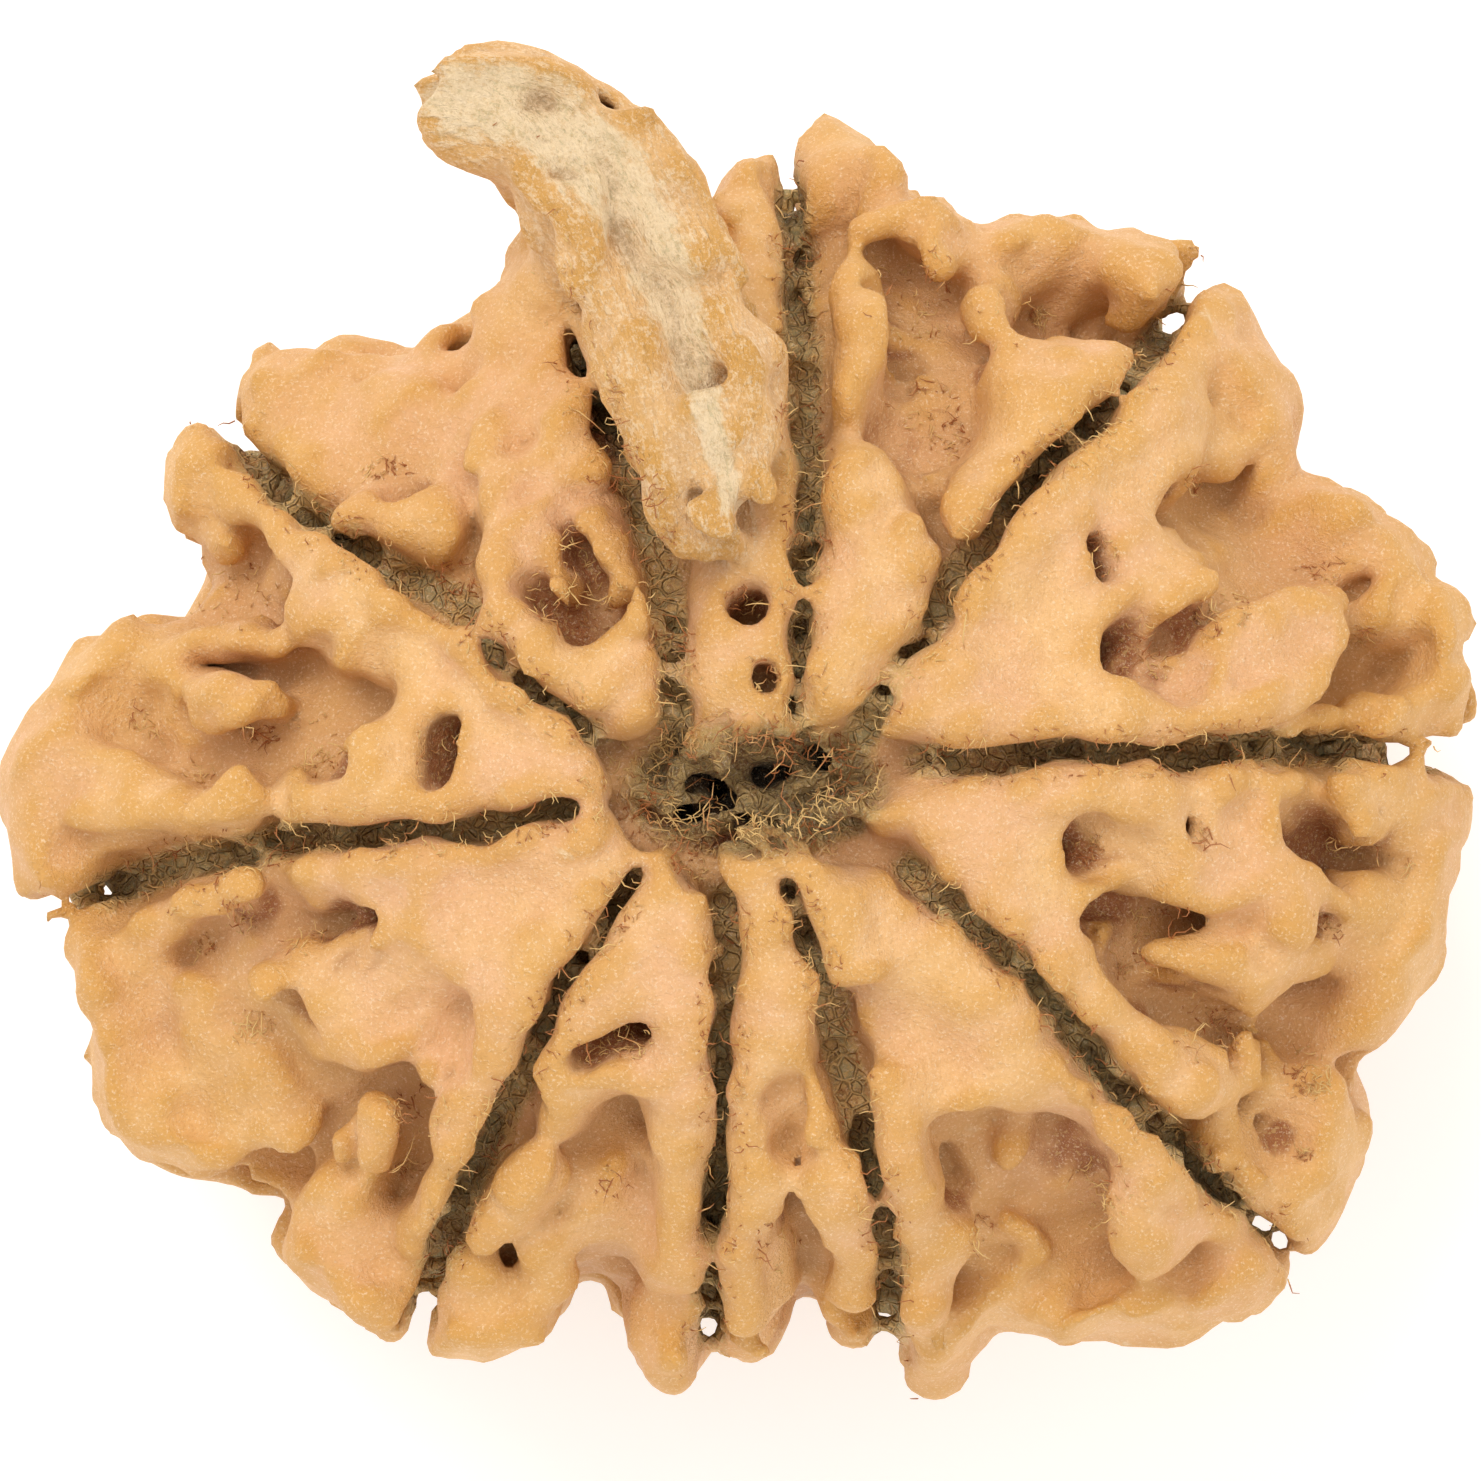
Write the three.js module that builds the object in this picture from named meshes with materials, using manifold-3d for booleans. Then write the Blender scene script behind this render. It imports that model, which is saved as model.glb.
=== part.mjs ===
import * as THREE from "three";
import { mergeVertices } from "three/addons/utils/BufferGeometryUtils.js";
import { SimplifyModifier } from "three/addons/modifiers/SimplifyModifier.js";
import { triTable } from "three/addons/objects/MarchingCubes.js";
import Module from "manifold-3d";

// Lengths are in millimetres. The seed's own axis is the Z line through its central opening,
// and plans are drawn looking down that axis, with the outgrowth towards +Y.

// The smooth body that the relief stands on
const BODY_HALF_HEIGHT = 10.3;
const BODY_POWER = 2.2;
const RIM_RADII = [
  14.75, 14.9, 13.7, 13.9, 13.1, 13.3, 12.9, 12.2, 11.6, 12.6, 13.2, 13.5,
  14.8, 14.3, 14.2, 13.4, 13.1, 12.0, 11.8, 12.2, 13.3, 14.7, 14.5, 14.5,
];
const VALLEY_DEPTH = 1.9;

// The flat spot under the seed, where it is worn level
const REST_LEVEL = -9.75;
const REST_CUTTER_SIZE = 60;

// Grooves between the ten segments
const GROOVE_DEPTH = 2.5;
const GROOVE_RIM_RISE = 1.3;
const GROOVE_RIM_REACH = 3.5;
const GROOVE_HALF_WIDTH_POLE = 0.24;
const GROOVE_HALF_WIDTH_RIM = 0.38;
const GROOVE_WIDENS_OVER = 12;
const GROOVES = [
  [[3.7, 0.5], [5.0, 0.5], [6.3, 0.65], [8.0, 0.65], [9.0, 0.6], [9.9, 0.8], [11.0, 0.75],
    [12.1, 0.72], [13.4, 0.6], [15.8, 0.55]],
  [[2.3, 0.8], [2.9, 1.9], [3.5, 2.8], [4.4, 4.3], [5.0, 5.05], [5.7, 6.0], [6.3, 6.6],
    [7.0, 7.15], [7.6, 7.8], [8.1, 8.5], [8.7, 9.4], [10.4, 12.0]],
  [[1.1, 1.3], [1.2, 2.9], [1.25, 4.4], [1.35, 5.5], [1.3, 6.5], [1.2, 7.4], [1.3, 8.2],
    [1.15, 9.2], [1.1, 10.2], [1.0, 11.6], [0.9, 14.4]],
  [[-1.25, 0.7], [-1.3, 2.0], [-1.4, 3.2], [-1.55, 4.2], [-1.9, 5.3], [-2.2, 6.2], [-2.8, 7.5],
    [-3.6, 10.0], [-4.6, 13.5]],
  [[-3.0, 1.1], [-3.6, 1.6], [-4.4, 2.1], [-5.1, 2.9], [-5.5, 3.5], [-6.1, 3.9], [-7.0, 4.35],
    [-7.8, 4.8], [-8.6, 5.35], [-9.3, 6.0], [-10.0, 6.9], [-12.4, 9.0]],
  [[-3.3, -0.45], [-4.6, -0.7], [-6.0, -0.9], [-7.4, -0.95], [-8.8, -1.0], [-9.4, -1.2],
    [-10.2, -1.4], [-11.2, -1.55], [-12.2, -1.95], [-15.8, -2.9]],
  [[-2.1, -1.7], [-2.7, -2.8], [-3.5, -4.0], [-4.0, -5.1], [-4.6, -6.2], [-5.1, -7.2],
    [-5.6, -8.3], [-5.95, -9.2], [-6.3, -10.4], [-7.0, -13.0]],
  [[-0.25, -2.3], [-0.3, -3.6], [-0.35, -5.5], [-0.35, -7.0], [-0.5, -8.6], [-0.6, -10.0],
    [-0.7, -13.5]],
  [[0.95, -2.0], [1.4, -3.1], [1.75, -4.0], [1.9, -5.0], [2.2, -6.0], [2.5, -7.2], [2.75, -8.2],
    [2.95, -9.3], [3.0, -10.4], [3.1, -13.5]],
  [[3.4, -1.7], [4.3, -2.45], [5.2, -3.2], [6.0, -4.1], [6.8, -5.1], [7.6, -6.1], [8.4, -6.9],
    [9.2, -7.65], [10.0, -8.4], [10.8, -9.1], [12.8, -11.2]],
];

// Upper shelves: how far the top stands above the body, and the plan
const UPPER_SHELVES = [
  [0, [[2.6, 0.85], [3.9, 0.8], [5.2, 0.95], [7.8, 0.95], [9.8, 1.05], [10.6, 1.1], [11.2, 1.45],
    [11.9, 2.1], [12.2, 2.8], [12.1, 3.7], [11.5, 3.9], [10.4, 3.85], [9.8, 3.5], [9.3, 3.0],
    [9.1, 3.2], [9.4, 4.0], [9.6, 4.4], [8.9, 4.8], [8.3, 5.05], [8.3, 5.4], [8.9, 6.1],
    [9.15, 6.9], [9.1, 7.6], [8.7, 8.1], [8.1, 8.15], [7.5, 7.4], [6.9, 6.75], [6.3, 6.2],
    [5.7, 5.5], [5.2, 4.8], [4.6, 3.9], [4.0, 3.0], [3.4, 2.2], [2.9, 1.5]]],
  [0, [[2.1, -0.6], [2.6, 0.3], [3.9, 0.35], [4.9, 0.2], [5.8, 0.4], [7.6, 0.35], [8.8, 0.2],
    [9.8, 0.5], [10.9, 0.6], [11.7, 0.35], [12.5, -0.3], [12.8, -0.9], [12.5, -1.25], [12.0, -1.1],
    [11.6, -0.7], [11.2, -0.8], [11.05, -1.4], [11.35, -2.1], [11.4, -2.6], [10.9, -2.65],
    [10.3, -2.4], [9.8, -2.35], [9.2, -2.65], [8.5, -2.5], [7.5, -2.15], [7.05, -2.4], [7.1, -3.2],
    [7.5, -4.0], [8.3, -4.5], [9.0, -5.0], [9.6, -5.6], [9.65, -6.1], [9.2, -6.4], [8.5, -6.3],
    [7.8, -5.8], [7.0, -4.95], [6.3, -4.1], [5.5, -3.3], [4.8, -2.6], [4.0, -1.95], [3.2, -1.4],
    [2.5, -1.1]]],
  [0, [[1.2, -1.8], [2.2, -1.5], [3.1, -1.6], [3.9, -2.4], [4.9, -3.3], [5.7, -4.1], [6.5, -5.1],
    [7.3, -6.1], [8.2, -7.0], [9.0, -7.7], [9.8, -8.4], [10.0, -8.9], [9.3, -9.45], [8.5, -9.85],
    [8.0, -10.0], [7.6, -9.5], [7.35, -8.9], [7.4, -8.3], [7.3, -7.7], [6.9, -7.05], [6.3, -6.85],
    [5.5, -6.9], [4.7, -6.65], [4.3, -6.6], [4.1, -7.2], [4.1, -8.0], [3.8, -8.55], [3.4, -8.65],
    [3.0, -8.2], [2.75, -7.3], [2.5, -6.2], [2.3, -5.2], [2.1, -4.4], [1.85, -3.6], [1.4, -2.8],
    [1.05, -2.1]]],
  [0, [[-0.35, -1.4], [0.4, -1.05], [0.95, -1.4], [0.85, -2.1], [1.1, -3.0], [1.45, -3.9],
    [1.6, -5.0], [1.9, -6.1], [2.2, -7.2], [2.55, -8.1], [2.6, -8.9], [2.4, -9.4], [2.0, -9.45],
    [1.6, -9.0], [1.5, -8.1], [1.25, -7.35], [1.0, -7.5], [0.9, -8.3], [0.7, -8.95], [0.2, -9.3],
    [-0.1, -8.9], [-0.2, -7.8], [-0.1, -6.4], [-0.1, -5.0], [-0.05, -3.8], [-0.05, -2.5]]],
  [0, [[-1.8, -1.6], [-1.4, -1.35], [-0.8, -1.9], [-0.5, -2.8], [-0.6, -4.0], [-0.6, -5.0],
    [-0.6, -6.2], [-0.6, -7.3], [-0.8, -8.3], [-1.1, -8.9], [-1.5, -8.85], [-1.75, -8.2],
    [-1.85, -7.2], [-1.95, -6.4], [-2.1, -6.15], [-2.6, -6.4], [-3.3, -7.0], [-3.9, -7.0],
    [-4.2, -6.6], [-4.1, -6.1], [-3.7, -5.4], [-3.4, -4.6], [-2.9, -3.6], [-2.35, -2.7]]],
  [0, [[-2.6, -0.65], [-3.8, -0.85], [-5.2, -1.1], [-6.6, -1.2], [-8.0, -1.25], [-9.0, -1.4],
    [-9.3, -1.6], [-9.0, -2.0], [-8.3, -2.45], [-7.6, -2.5], [-7.9, -2.9], [-8.7, -3.2],
    [-9.1, -3.6], [-9.8, -3.9], [-9.8, -4.4], [-9.1, -4.7], [-8.8, -5.2], [-8.3, -5.65],
    [-7.5, -5.7], [-6.7, -5.6], [-6.3, -6.0], [-6.25, -6.7], [-6.2, -7.4], [-6.6, -8.2],
    [-6.9, -8.9], [-6.8, -9.4], [-6.3, -9.4], [-5.9, -8.6], [-5.4, -7.4], [-4.9, -6.3],
    [-4.3, -5.2], [-3.9, -4.3], [-3.3, -3.3], [-2.6, -2.5], [-2.2, -1.8]]],
  [0, [[-2.7, -0.1], [-3.8, -0.35], [-5.0, -0.55], [-6.6, -0.7], [-8.2, -0.75], [-9.2, -0.8],
    [-9.3, -0.2], [-8.9, 0.3], [-8.3, 0.1], [-7.9, 0.4], [-7.7, 1.0], [-7.1, 1.6], [-7.7, 2.0],
    [-8.4, 2.6], [-9.0, 3.3], [-9.0, 4.0], [-9.3, 4.8], [-10.3, 5.5], [-10.9, 6.2], [-10.6, 6.6],
    [-9.8, 6.1], [-9.0, 5.4], [-8.2, 4.8], [-7.2, 4.2], [-6.2, 3.6], [-5.4, 3.0], [-4.7, 2.2],
    [-3.8, 1.4], [-2.9, 0.8]]],
  [0.15, [[-1.45, 0.95], [-1.5, 2.2], [-1.65, 3.2], [-1.8, 4.2], [-2.1, 5.2], [-2.5, 5.7],
    [-3.0, 6.2], [-2.9, 6.7], [-3.5, 6.95], [-4.3, 6.85], [-4.9, 6.5], [-5.25, 6.0], [-5.25, 5.0],
    [-5.3, 4.2], [-5.0, 3.4], [-4.5, 2.7], [-4.0, 2.0], [-3.4, 1.4], [-2.6, 1.0]]],
  [-0.3, [[-5.4, 5.9], [-5.3, 5.0], [-5.6, 4.4], [-6.1, 4.2], [-6.8, 4.5], [-7.7, 5.0],
    [-8.4, 5.4], [-8.9, 5.9], [-9.5, 6.3], [-9.8, 6.7], [-9.6, 7.2], [-8.9, 7.6], [-8.0, 7.85],
    [-6.8, 7.9], [-5.8, 7.9], [-5.8, 7.0], [-6.2, 6.5], [-5.6, 6.3]]],
  [0.6, [[-6.2, 6.5], [-5.9, 7.1], [-5.4, 7.6], [-5.2, 8.4], [-5.0, 9.1], [-4.6, 9.8],
    [-4.2, 10.2], [-3.7, 10.1], [-3.0, 9.4], [-2.9, 8.4], [-3.1, 7.4], [-3.5, 6.85], [-4.3, 6.65],
    [-5.0, 6.3], [-5.6, 6.0]]],
  [0, [[-1.15, 0.8], [-0.6, 0.6], [0.6, 1.1], [0.95, 1.5], [1.0, 3.0], [1.05, 5.0], [1.05, 6.5],
    [0.95, 8.5], [0.85, 10.2], [0.85, 11.3], [0.4, 11.5], [-0.3, 11.0], [-0.5, 9.7], [-0.9, 7.3],
    [-1.1, 5.4], [-1.1, 3.6], [-1.15, 2.4]]],
  [0, [[1.4, 1.3], [1.45, 2.9], [1.5, 4.2], [1.7, 5.2], [1.7, 6.2], [1.9, 6.9], [2.5, 7.0],
    [3.0, 6.6], [3.4, 5.6], [3.8, 4.8], [3.85, 4.2], [3.5, 3.4], [3.0, 2.6], [2.7, 1.9],
    [2.2, 1.2], [1.8, 0.95]]],
  [-0.1, [[1.85, 7.2], [1.9, 8.2], [2.1, 8.8], [2.4, 8.9], [2.65, 8.5], [2.75, 7.8], [2.7, 7.3],
    [2.3, 7.0]]],
  [-0.1, [[1.9, 9.2], [1.85, 10.1], [2.0, 10.8], [2.4, 10.9], [2.8, 10.4], [2.95, 9.7], [2.8, 9.1],
    [2.3, 9.0]]],
  [-0.3, [[1.8, 11.0], [2.0, 11.6], [2.6, 12.0], [3.3, 11.9], [3.9, 11.4], [4.4, 11.2],
    [4.4, 10.4], [3.9, 10.3], [3.2, 10.6], [2.7, 10.9]]],
  [-0.25, [[4.5, 9.5], [4.7, 10.2], [5.3, 10.3], [5.7, 9.9], [5.6, 9.3], [5.2, 9.0], [4.7, 9.0]]],
  [0, [[4.2, 6.6], [4.6, 7.4], [4.8, 8.0], [5.2, 8.7], [5.7, 9.05], [6.4, 8.9], [7.1, 8.85],
    [7.6, 8.7], [7.5, 8.2], [7.2, 7.6], [6.6, 7.1], [6.0, 6.6], [5.4, 5.8], [4.9, 5.1],
    [4.5, 4.95], [4.0, 5.2], [3.7, 5.9], [3.7, 6.3]]],
  [-0.6, [[6.0, 9.3], [6.1, 10.1], [6.6, 10.5], [7.3, 10.35], [7.9, 9.9], [8.0, 9.4], [7.7, 8.95],
    [7.2, 9.0], [6.5, 9.1]]],
  [-0.6, [[8.2, 8.3], [8.5, 9.0], [9.0, 9.5], [9.6, 9.7], [9.9, 9.2], [10.0, 8.4], [9.8, 7.8],
    [9.3, 7.3], [9.1, 7.9], [8.7, 8.2]]],
  [-0.7, [[8.9, -2.9], [9.6, -2.65], [10.1, -3.0], [10.5, -3.6], [10.5, -4.1], [10.2, -4.4],
    [9.4, -4.3], [8.7, -4.35], [8.1, -4.1], [7.9, -3.7], [8.3, -3.2]]],
  [-0.9, [[10.3, -2.6], [10.7, -3.0], [11.0, -3.6], [10.6, -4.0], [10.5, -3.4]]],
  [-0.9, [[9.7, -5.1], [10.3, -4.9], [10.9, -5.4], [11.0, -5.9], [10.6, -6.3], [10.1, -6.1],
    [9.8, -5.6]]],
  [-0.9, [[8.9, -6.7], [9.7, -6.4], [10.3, -6.5], [10.3, -7.0], [10.0, -7.45], [9.4, -7.3]]],
  [-0.35, [[3.0, -8.9], [3.1, -9.7], [3.4, -10.1], [3.9, -10.0], [4.3, -9.5], [4.5, -8.8],
    [4.4, -8.3], [3.9, -8.6]]],
  [-0.9, [[5.2, -8.4], [5.9, -8.7], [6.5, -9.4], [6.8, -10.1], [6.4, -10.0], [5.8, -9.5],
    [5.3, -9.0]]],
  [-0.6, [[8.6, -10.0], [9.4, -9.5], [10.0, -9.1], [10.5, -9.6], [10.4, -9.95], [9.7, -10.1],
    [9.1, -10.5], [8.7, -10.9], [8.4, -10.6]]],
  [-0.5, [[-3.6, -7.3], [-3.6, -7.8], [-4.0, -8.5], [-4.4, -8.9], [-4.9, -8.8], [-5.0, -8.3],
    [-4.8, -7.7], [-4.4, -7.3], [-4.0, -7.2]]],
  [-0.9, [[-3.8, -8.9], [-3.4, -8.2], [-2.8, -7.4], [-2.3, -7.4], [-2.0, -8.6], [-1.9, -9.2],
    [-2.6, -9.3], [-3.5, -9.3]]],
  [-0.4, [[-7.8, -6.3], [-7.9, -7.3], [-7.6, -8.1], [-7.1, -8.0], [-6.7, -7.3], [-6.7, -6.9],
    [-7.0, -6.3], [-7.2, -6.0]]],
  [-0.4, [[-9.4, -1.85], [-10.4, -1.8], [-11.4, -2.05], [-12.0, -2.5], [-11.9, -2.9],
    [-11.3, -3.0], [-10.6, -2.5], [-10.0, -2.25], [-9.5, -2.4]]],
  [-0.9, [[-9.9, -4.5], [-10.8, -3.9], [-11.6, -3.4], [-12.4, -3.4], [-12.9, -4.0], [-12.8, -5.0],
    [-12.2, -5.7], [-11.4, -6.2], [-10.6, -6.7], [-9.8, -6.95], [-9.0, -7.0], [-8.5, -6.7],
    [-8.1, -6.3], [-8.5, -5.8], [-9.0, -5.2], [-9.5, -4.7]]],
  [-0.15, [[-11.65, 1.7], [-11.6, 2.2], [-11.1, 2.4], [-10.2, 2.35], [-9.3, 2.0], [-8.8, 1.6],
    [-9.1, 1.2], [-9.7, 1.2], [-10.4, 0.9], [-11.3, 0.9], [-11.6, 1.2]]],
  [-0.25, [[-9.5, -0.95], [-10.4, -1.15], [-11.5, -1.25], [-12.5, -1.5], [-13.2, -1.2],
    [-13.5, -0.5], [-13.6, 0.3], [-13.3, 0.8], [-12.6, 0.7], [-11.8, 0.55], [-11.1, 0.2],
    [-10.5, 0.1], [-9.9, 0.3], [-9.4, 0.2], [-9.35, -0.4]]],
  [-0.55, [[-12.8, 1.95], [-12.7, 2.3], [-12.0, 2.75], [-11.0, 3.0], [-10.0, 3.15], [-9.3, 3.1],
    [-9.0, 2.7], [-9.4, 2.4], [-10.4, 2.55], [-11.3, 2.6], [-11.9, 2.2]]],
];

// Lower shelves reach from the upper ones out to the rim
const LOWER_SHELF_DROP = 1.7;
const LOWER_SHELF_RIM_DROP = -0.7;
const LOWER_SHELF_RISES_FROM = 0.78;
const LOWER_SHELVES = [
  [[8.4, 6.0], [8.5, 8.4], [8.9, 9.3], [9.4, 9.6], [9.8, 9.35], [10.15, 8.7], [10.85, 8.2],
    [10.9, 6.4], [11.35, 5.9], [13.0, 5.65], [13.8, 5.4], [14.35, 4.8], [14.2, 4.0], [14.6, 3.3],
    [14.3, 2.5], [14.7, 1.7], [14.35, 0.85], [12.4, 1.0], [10.0, 1.2], [8.2, 3.2]],
  [[10.4, 0.3], [13.2, 0.3], [14.2, 0.2], [14.4, -0.5], [14.4, -2.6], [13.7, -3.8], [12.8, -4.8],
    [12.1, -5.4], [12.2, -6.2], [12.3, -7.2], [12.0, -8.3], [11.3, -9.1], [10.7, -9.0],
    [9.5, -7.8], [8.4, -6.5], [9.2, -4.3], [10.0, -2.0]],
  [[3.1, -8.1], [3.1, -10.9], [3.4, -11.7], [3.85, -12.1], [4.4, -11.4], [5.0, -10.6],
    [5.5, -10.7], [6.5, -11.3], [8.0, -11.2], [8.7, -11.4], [9.5, -10.6], [10.5, -9.85],
    [10.4, -9.3], [8.2, -6.3], [4.2, -5.9]],
  [[-0.4, -8.0], [-0.45, -10.2], [-0.2, -11.2], [0.5, -11.35], [0.95, -9.5], [1.5, -9.4],
    [2.1, -11.1], [2.75, -10.9], [2.6, -8.2], [1.2, -6.5]],
  [[-6.1, -9.7], [-6.1, -10.8], [-5.7, -11.3], [-4.0, -10.95], [-3.3, -9.6], [-2.7, -9.5],
    [-2.1, -11.1], [-1.3, -12.0], [-0.8, -11.1], [-0.75, -9.2], [-1.8, -7.4], [-4.2, -7.3],
    [-5.6, -8.9]],
  [[-9.4, -1.6], [-12.2, -2.1], [-13.0, -2.8], [-13.2, -3.7], [-13.0, -4.8], [-13.1, -5.8],
    [-12.4, -7.1], [-11.1, -7.7], [-9.8, -7.95], [-9.0, -8.3], [-9.2, -9.3], [-8.2, -10.5],
    [-6.9, -11.4], [-6.2, -10.6], [-6.2, -8.3], [-6.8, -5.9], [-8.8, -3.9]],
  [[-9.9, 7.1], [-10.6, 7.3], [-11.35, 6.6], [-11.4, 5.7], [-10.7, 4.3], [-11.5, 3.5],
    [-13.15, 3.0], [-13.85, 2.1], [-14.5, 1.0], [-14.75, 0.0], [-14.4, -1.7], [-13.9, -2.35],
    [-12.2, -1.8], [-11.0, 0.2], [-9.6, 2.9], [-8.8, 4.7]],
  [[-9.7, 7.0], [-9.9, 8.1], [-9.2, 8.8], [-8.0, 8.65], [-6.8, 8.4], [-6.0, 8.9], [-5.15, 9.3],
    [-4.5, 10.4], [-4.3, 11.8], [-3.6, 11.0], [-3.0, 9.3], [-4.8, 7.3], [-7.6, 6.9]],
  [[1.3, 8.2], [1.25, 11.8], [1.75, 12.7], [2.3, 13.3], [3.05, 13.15], [3.35, 12.2], [4.05, 11.4],
    [4.7, 10.7], [6.0, 11.1], [8.2, 11.2], [9.0, 10.8], [8.7, 9.8], [7.7, 8.6], [6.4, 7.6],
    [4.6, 5.6], [3.2, 6.6], [2.0, 7.4]],
  [[-1.2, 9.0], [-0.4, 11.6], [0.0, 12.4], [0.55, 12.3], [0.85, 11.7], [0.85, 9.0]],
];
const SHELF_UNDERSIDE = -1.0;
const UPPER_SHELF_UNDERSIDE = 1.8;
const SHELF_EDGE_ROUND = 0.7;
const SHELF_UNDER_ROUND = 2.2;

// Fingers and knobs at the edges: ends in plan, radius, centre line above the body
const KNOBS = [
  [9.3, 9.2, 9.0, 8.0, 0.6, -0.7], [10.3, 8.4, 10.4, 6.8, 0.6, -0.9],
  [12.8, 5.0, 13.5, 4.7, 0.8, -0.7], [13.3, 3.3, 13.8, 3.2, 0.7, -0.7],
  [13.0, 1.6, 13.9, 1.6, 0.75, -0.7], [10.9, 3.7, 11.8, 3.4, 0.5, -0.35],
  [11.5, 1.3, 12.4, 1.5, 0.55, -0.9], [11.9, 0.1, 12.5, -0.8, 0.42, -0.2],
  [11.3, -1.9, 12.1, -2.45, 0.36, -0.25], [12.9, 0.0, 13.7, -0.3, 0.6, -0.7],
  [12.9, -2.4, 13.6, -2.7, 0.8, -0.8], [11.6, -3.4, 13.0, -3.3, 0.8, -1.3],
  [9.0, -3.6, 10.0, -3.7, 0.6, -0.8], [11.2, -8.3, 11.8, -7.4, 0.7, -0.8],
  [11.9, -6.3, 12.0, -7.0, 0.5, -0.8], [9.9, -8.0, 10.8, -8.6, 0.5, -0.8],
  [3.6, -10.4, 3.7, -11.2, 0.58, -0.2], [5.6, -7.4, 6.2, -8.2, 0.6, -1.5],
  [8.6, -10.5, 8.7, -10.7, 0.5, -0.7], [0.05, -9.4, 0.05, -10.8, 0.48, -0.3],
  [0.7, -9.8, 0.6, -10.9, 0.4, -1.1], [2.3, -9.4, 2.35, -10.5, 0.52, -0.5],
  [-1.3, -9.0, -1.3, -9.8, 0.36, -0.4], [-1.5, -10.0, -1.3, -11.4, 0.72, -0.9],
  [-4.2, -7.8, -4.6, -8.4, 0.5, -0.45], [-5.2, -9.0, -5.4, -9.5, 0.45, -0.7],
  [-5.6, -10.2, -5.6, -10.8, 0.55, -0.8], [-4.2, -9.8, -4.0, -10.5, 0.5, -1.0],
  [-7.4, -6.7, -7.5, -7.6, 0.4, -0.35], [-11.5, -2.4, -10.0, -1.95, 0.4, -0.35],
  [-12.5, -2.9, -12.7, -3.5, 0.5, -0.9], [-12.4, -5.9, -11.8, -6.6, 0.6, -1.1],
  [-11.0, -7.1, -9.6, -7.4, 0.6, -1.2], [-8.5, -8.6, -8.0, -9.4, 0.7, -0.9],
  [-7.6, -9.9, -6.9, -10.4, 0.6, -0.8], [-8.5, -7.6, -8.4, -7.9, 0.4, -0.9],
  [-13.2, -0.6, -11.4, -0.6, 0.5, -0.35], [-10.9, -0.6, -9.9, -0.2, 0.5, -0.3],
  [-11.0, 6.3, -10.4, 5.8, 0.5, -0.4], [-11.3, 5.6, -10.9, 4.9, 0.5, -0.9],
  [-13.3, 2.0, -12.9, 2.4, 0.6, -0.8], [-14.0, 0.4, -13.9, -1.4, 0.6, -0.8],
  [-11.4, 3.2, -10.6, 3.6, 0.5, -1.1], [-9.4, 7.9, -8.7, 8.0, 0.6, -0.8],
  [-7.5, 8.1, -6.9, 8.1, 0.4, -0.7], [-9.3, 7.0, -8.6, 6.7, 0.5, -0.5],
  [-5.9, 8.6, -5.4, 8.9, 0.4, -0.6], [0.2, 11.4, 0.25, 11.9, 0.5, -0.6],
  [1.9, 12.4, 2.2, 12.6, 0.55, -0.8], [2.9, 12.6, 2.9, 12.1, 0.55, -0.35],
  [2.5, 11.5, 3.4, 11.4, 0.45, -0.4], [4.0, 11.0, 4.1, 10.7, 0.35, -0.4],
  [4.9, 9.9, 5.2, 9.4, 0.4, -0.3], [6.6, 10.1, 7.4, 9.8, 0.4, -0.6],
  [6.0, 10.8, 8.4, 10.6, 0.45, -0.7], [7.0, 8.6, 7.3, 8.4, 0.3, -0.1],
];

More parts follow.
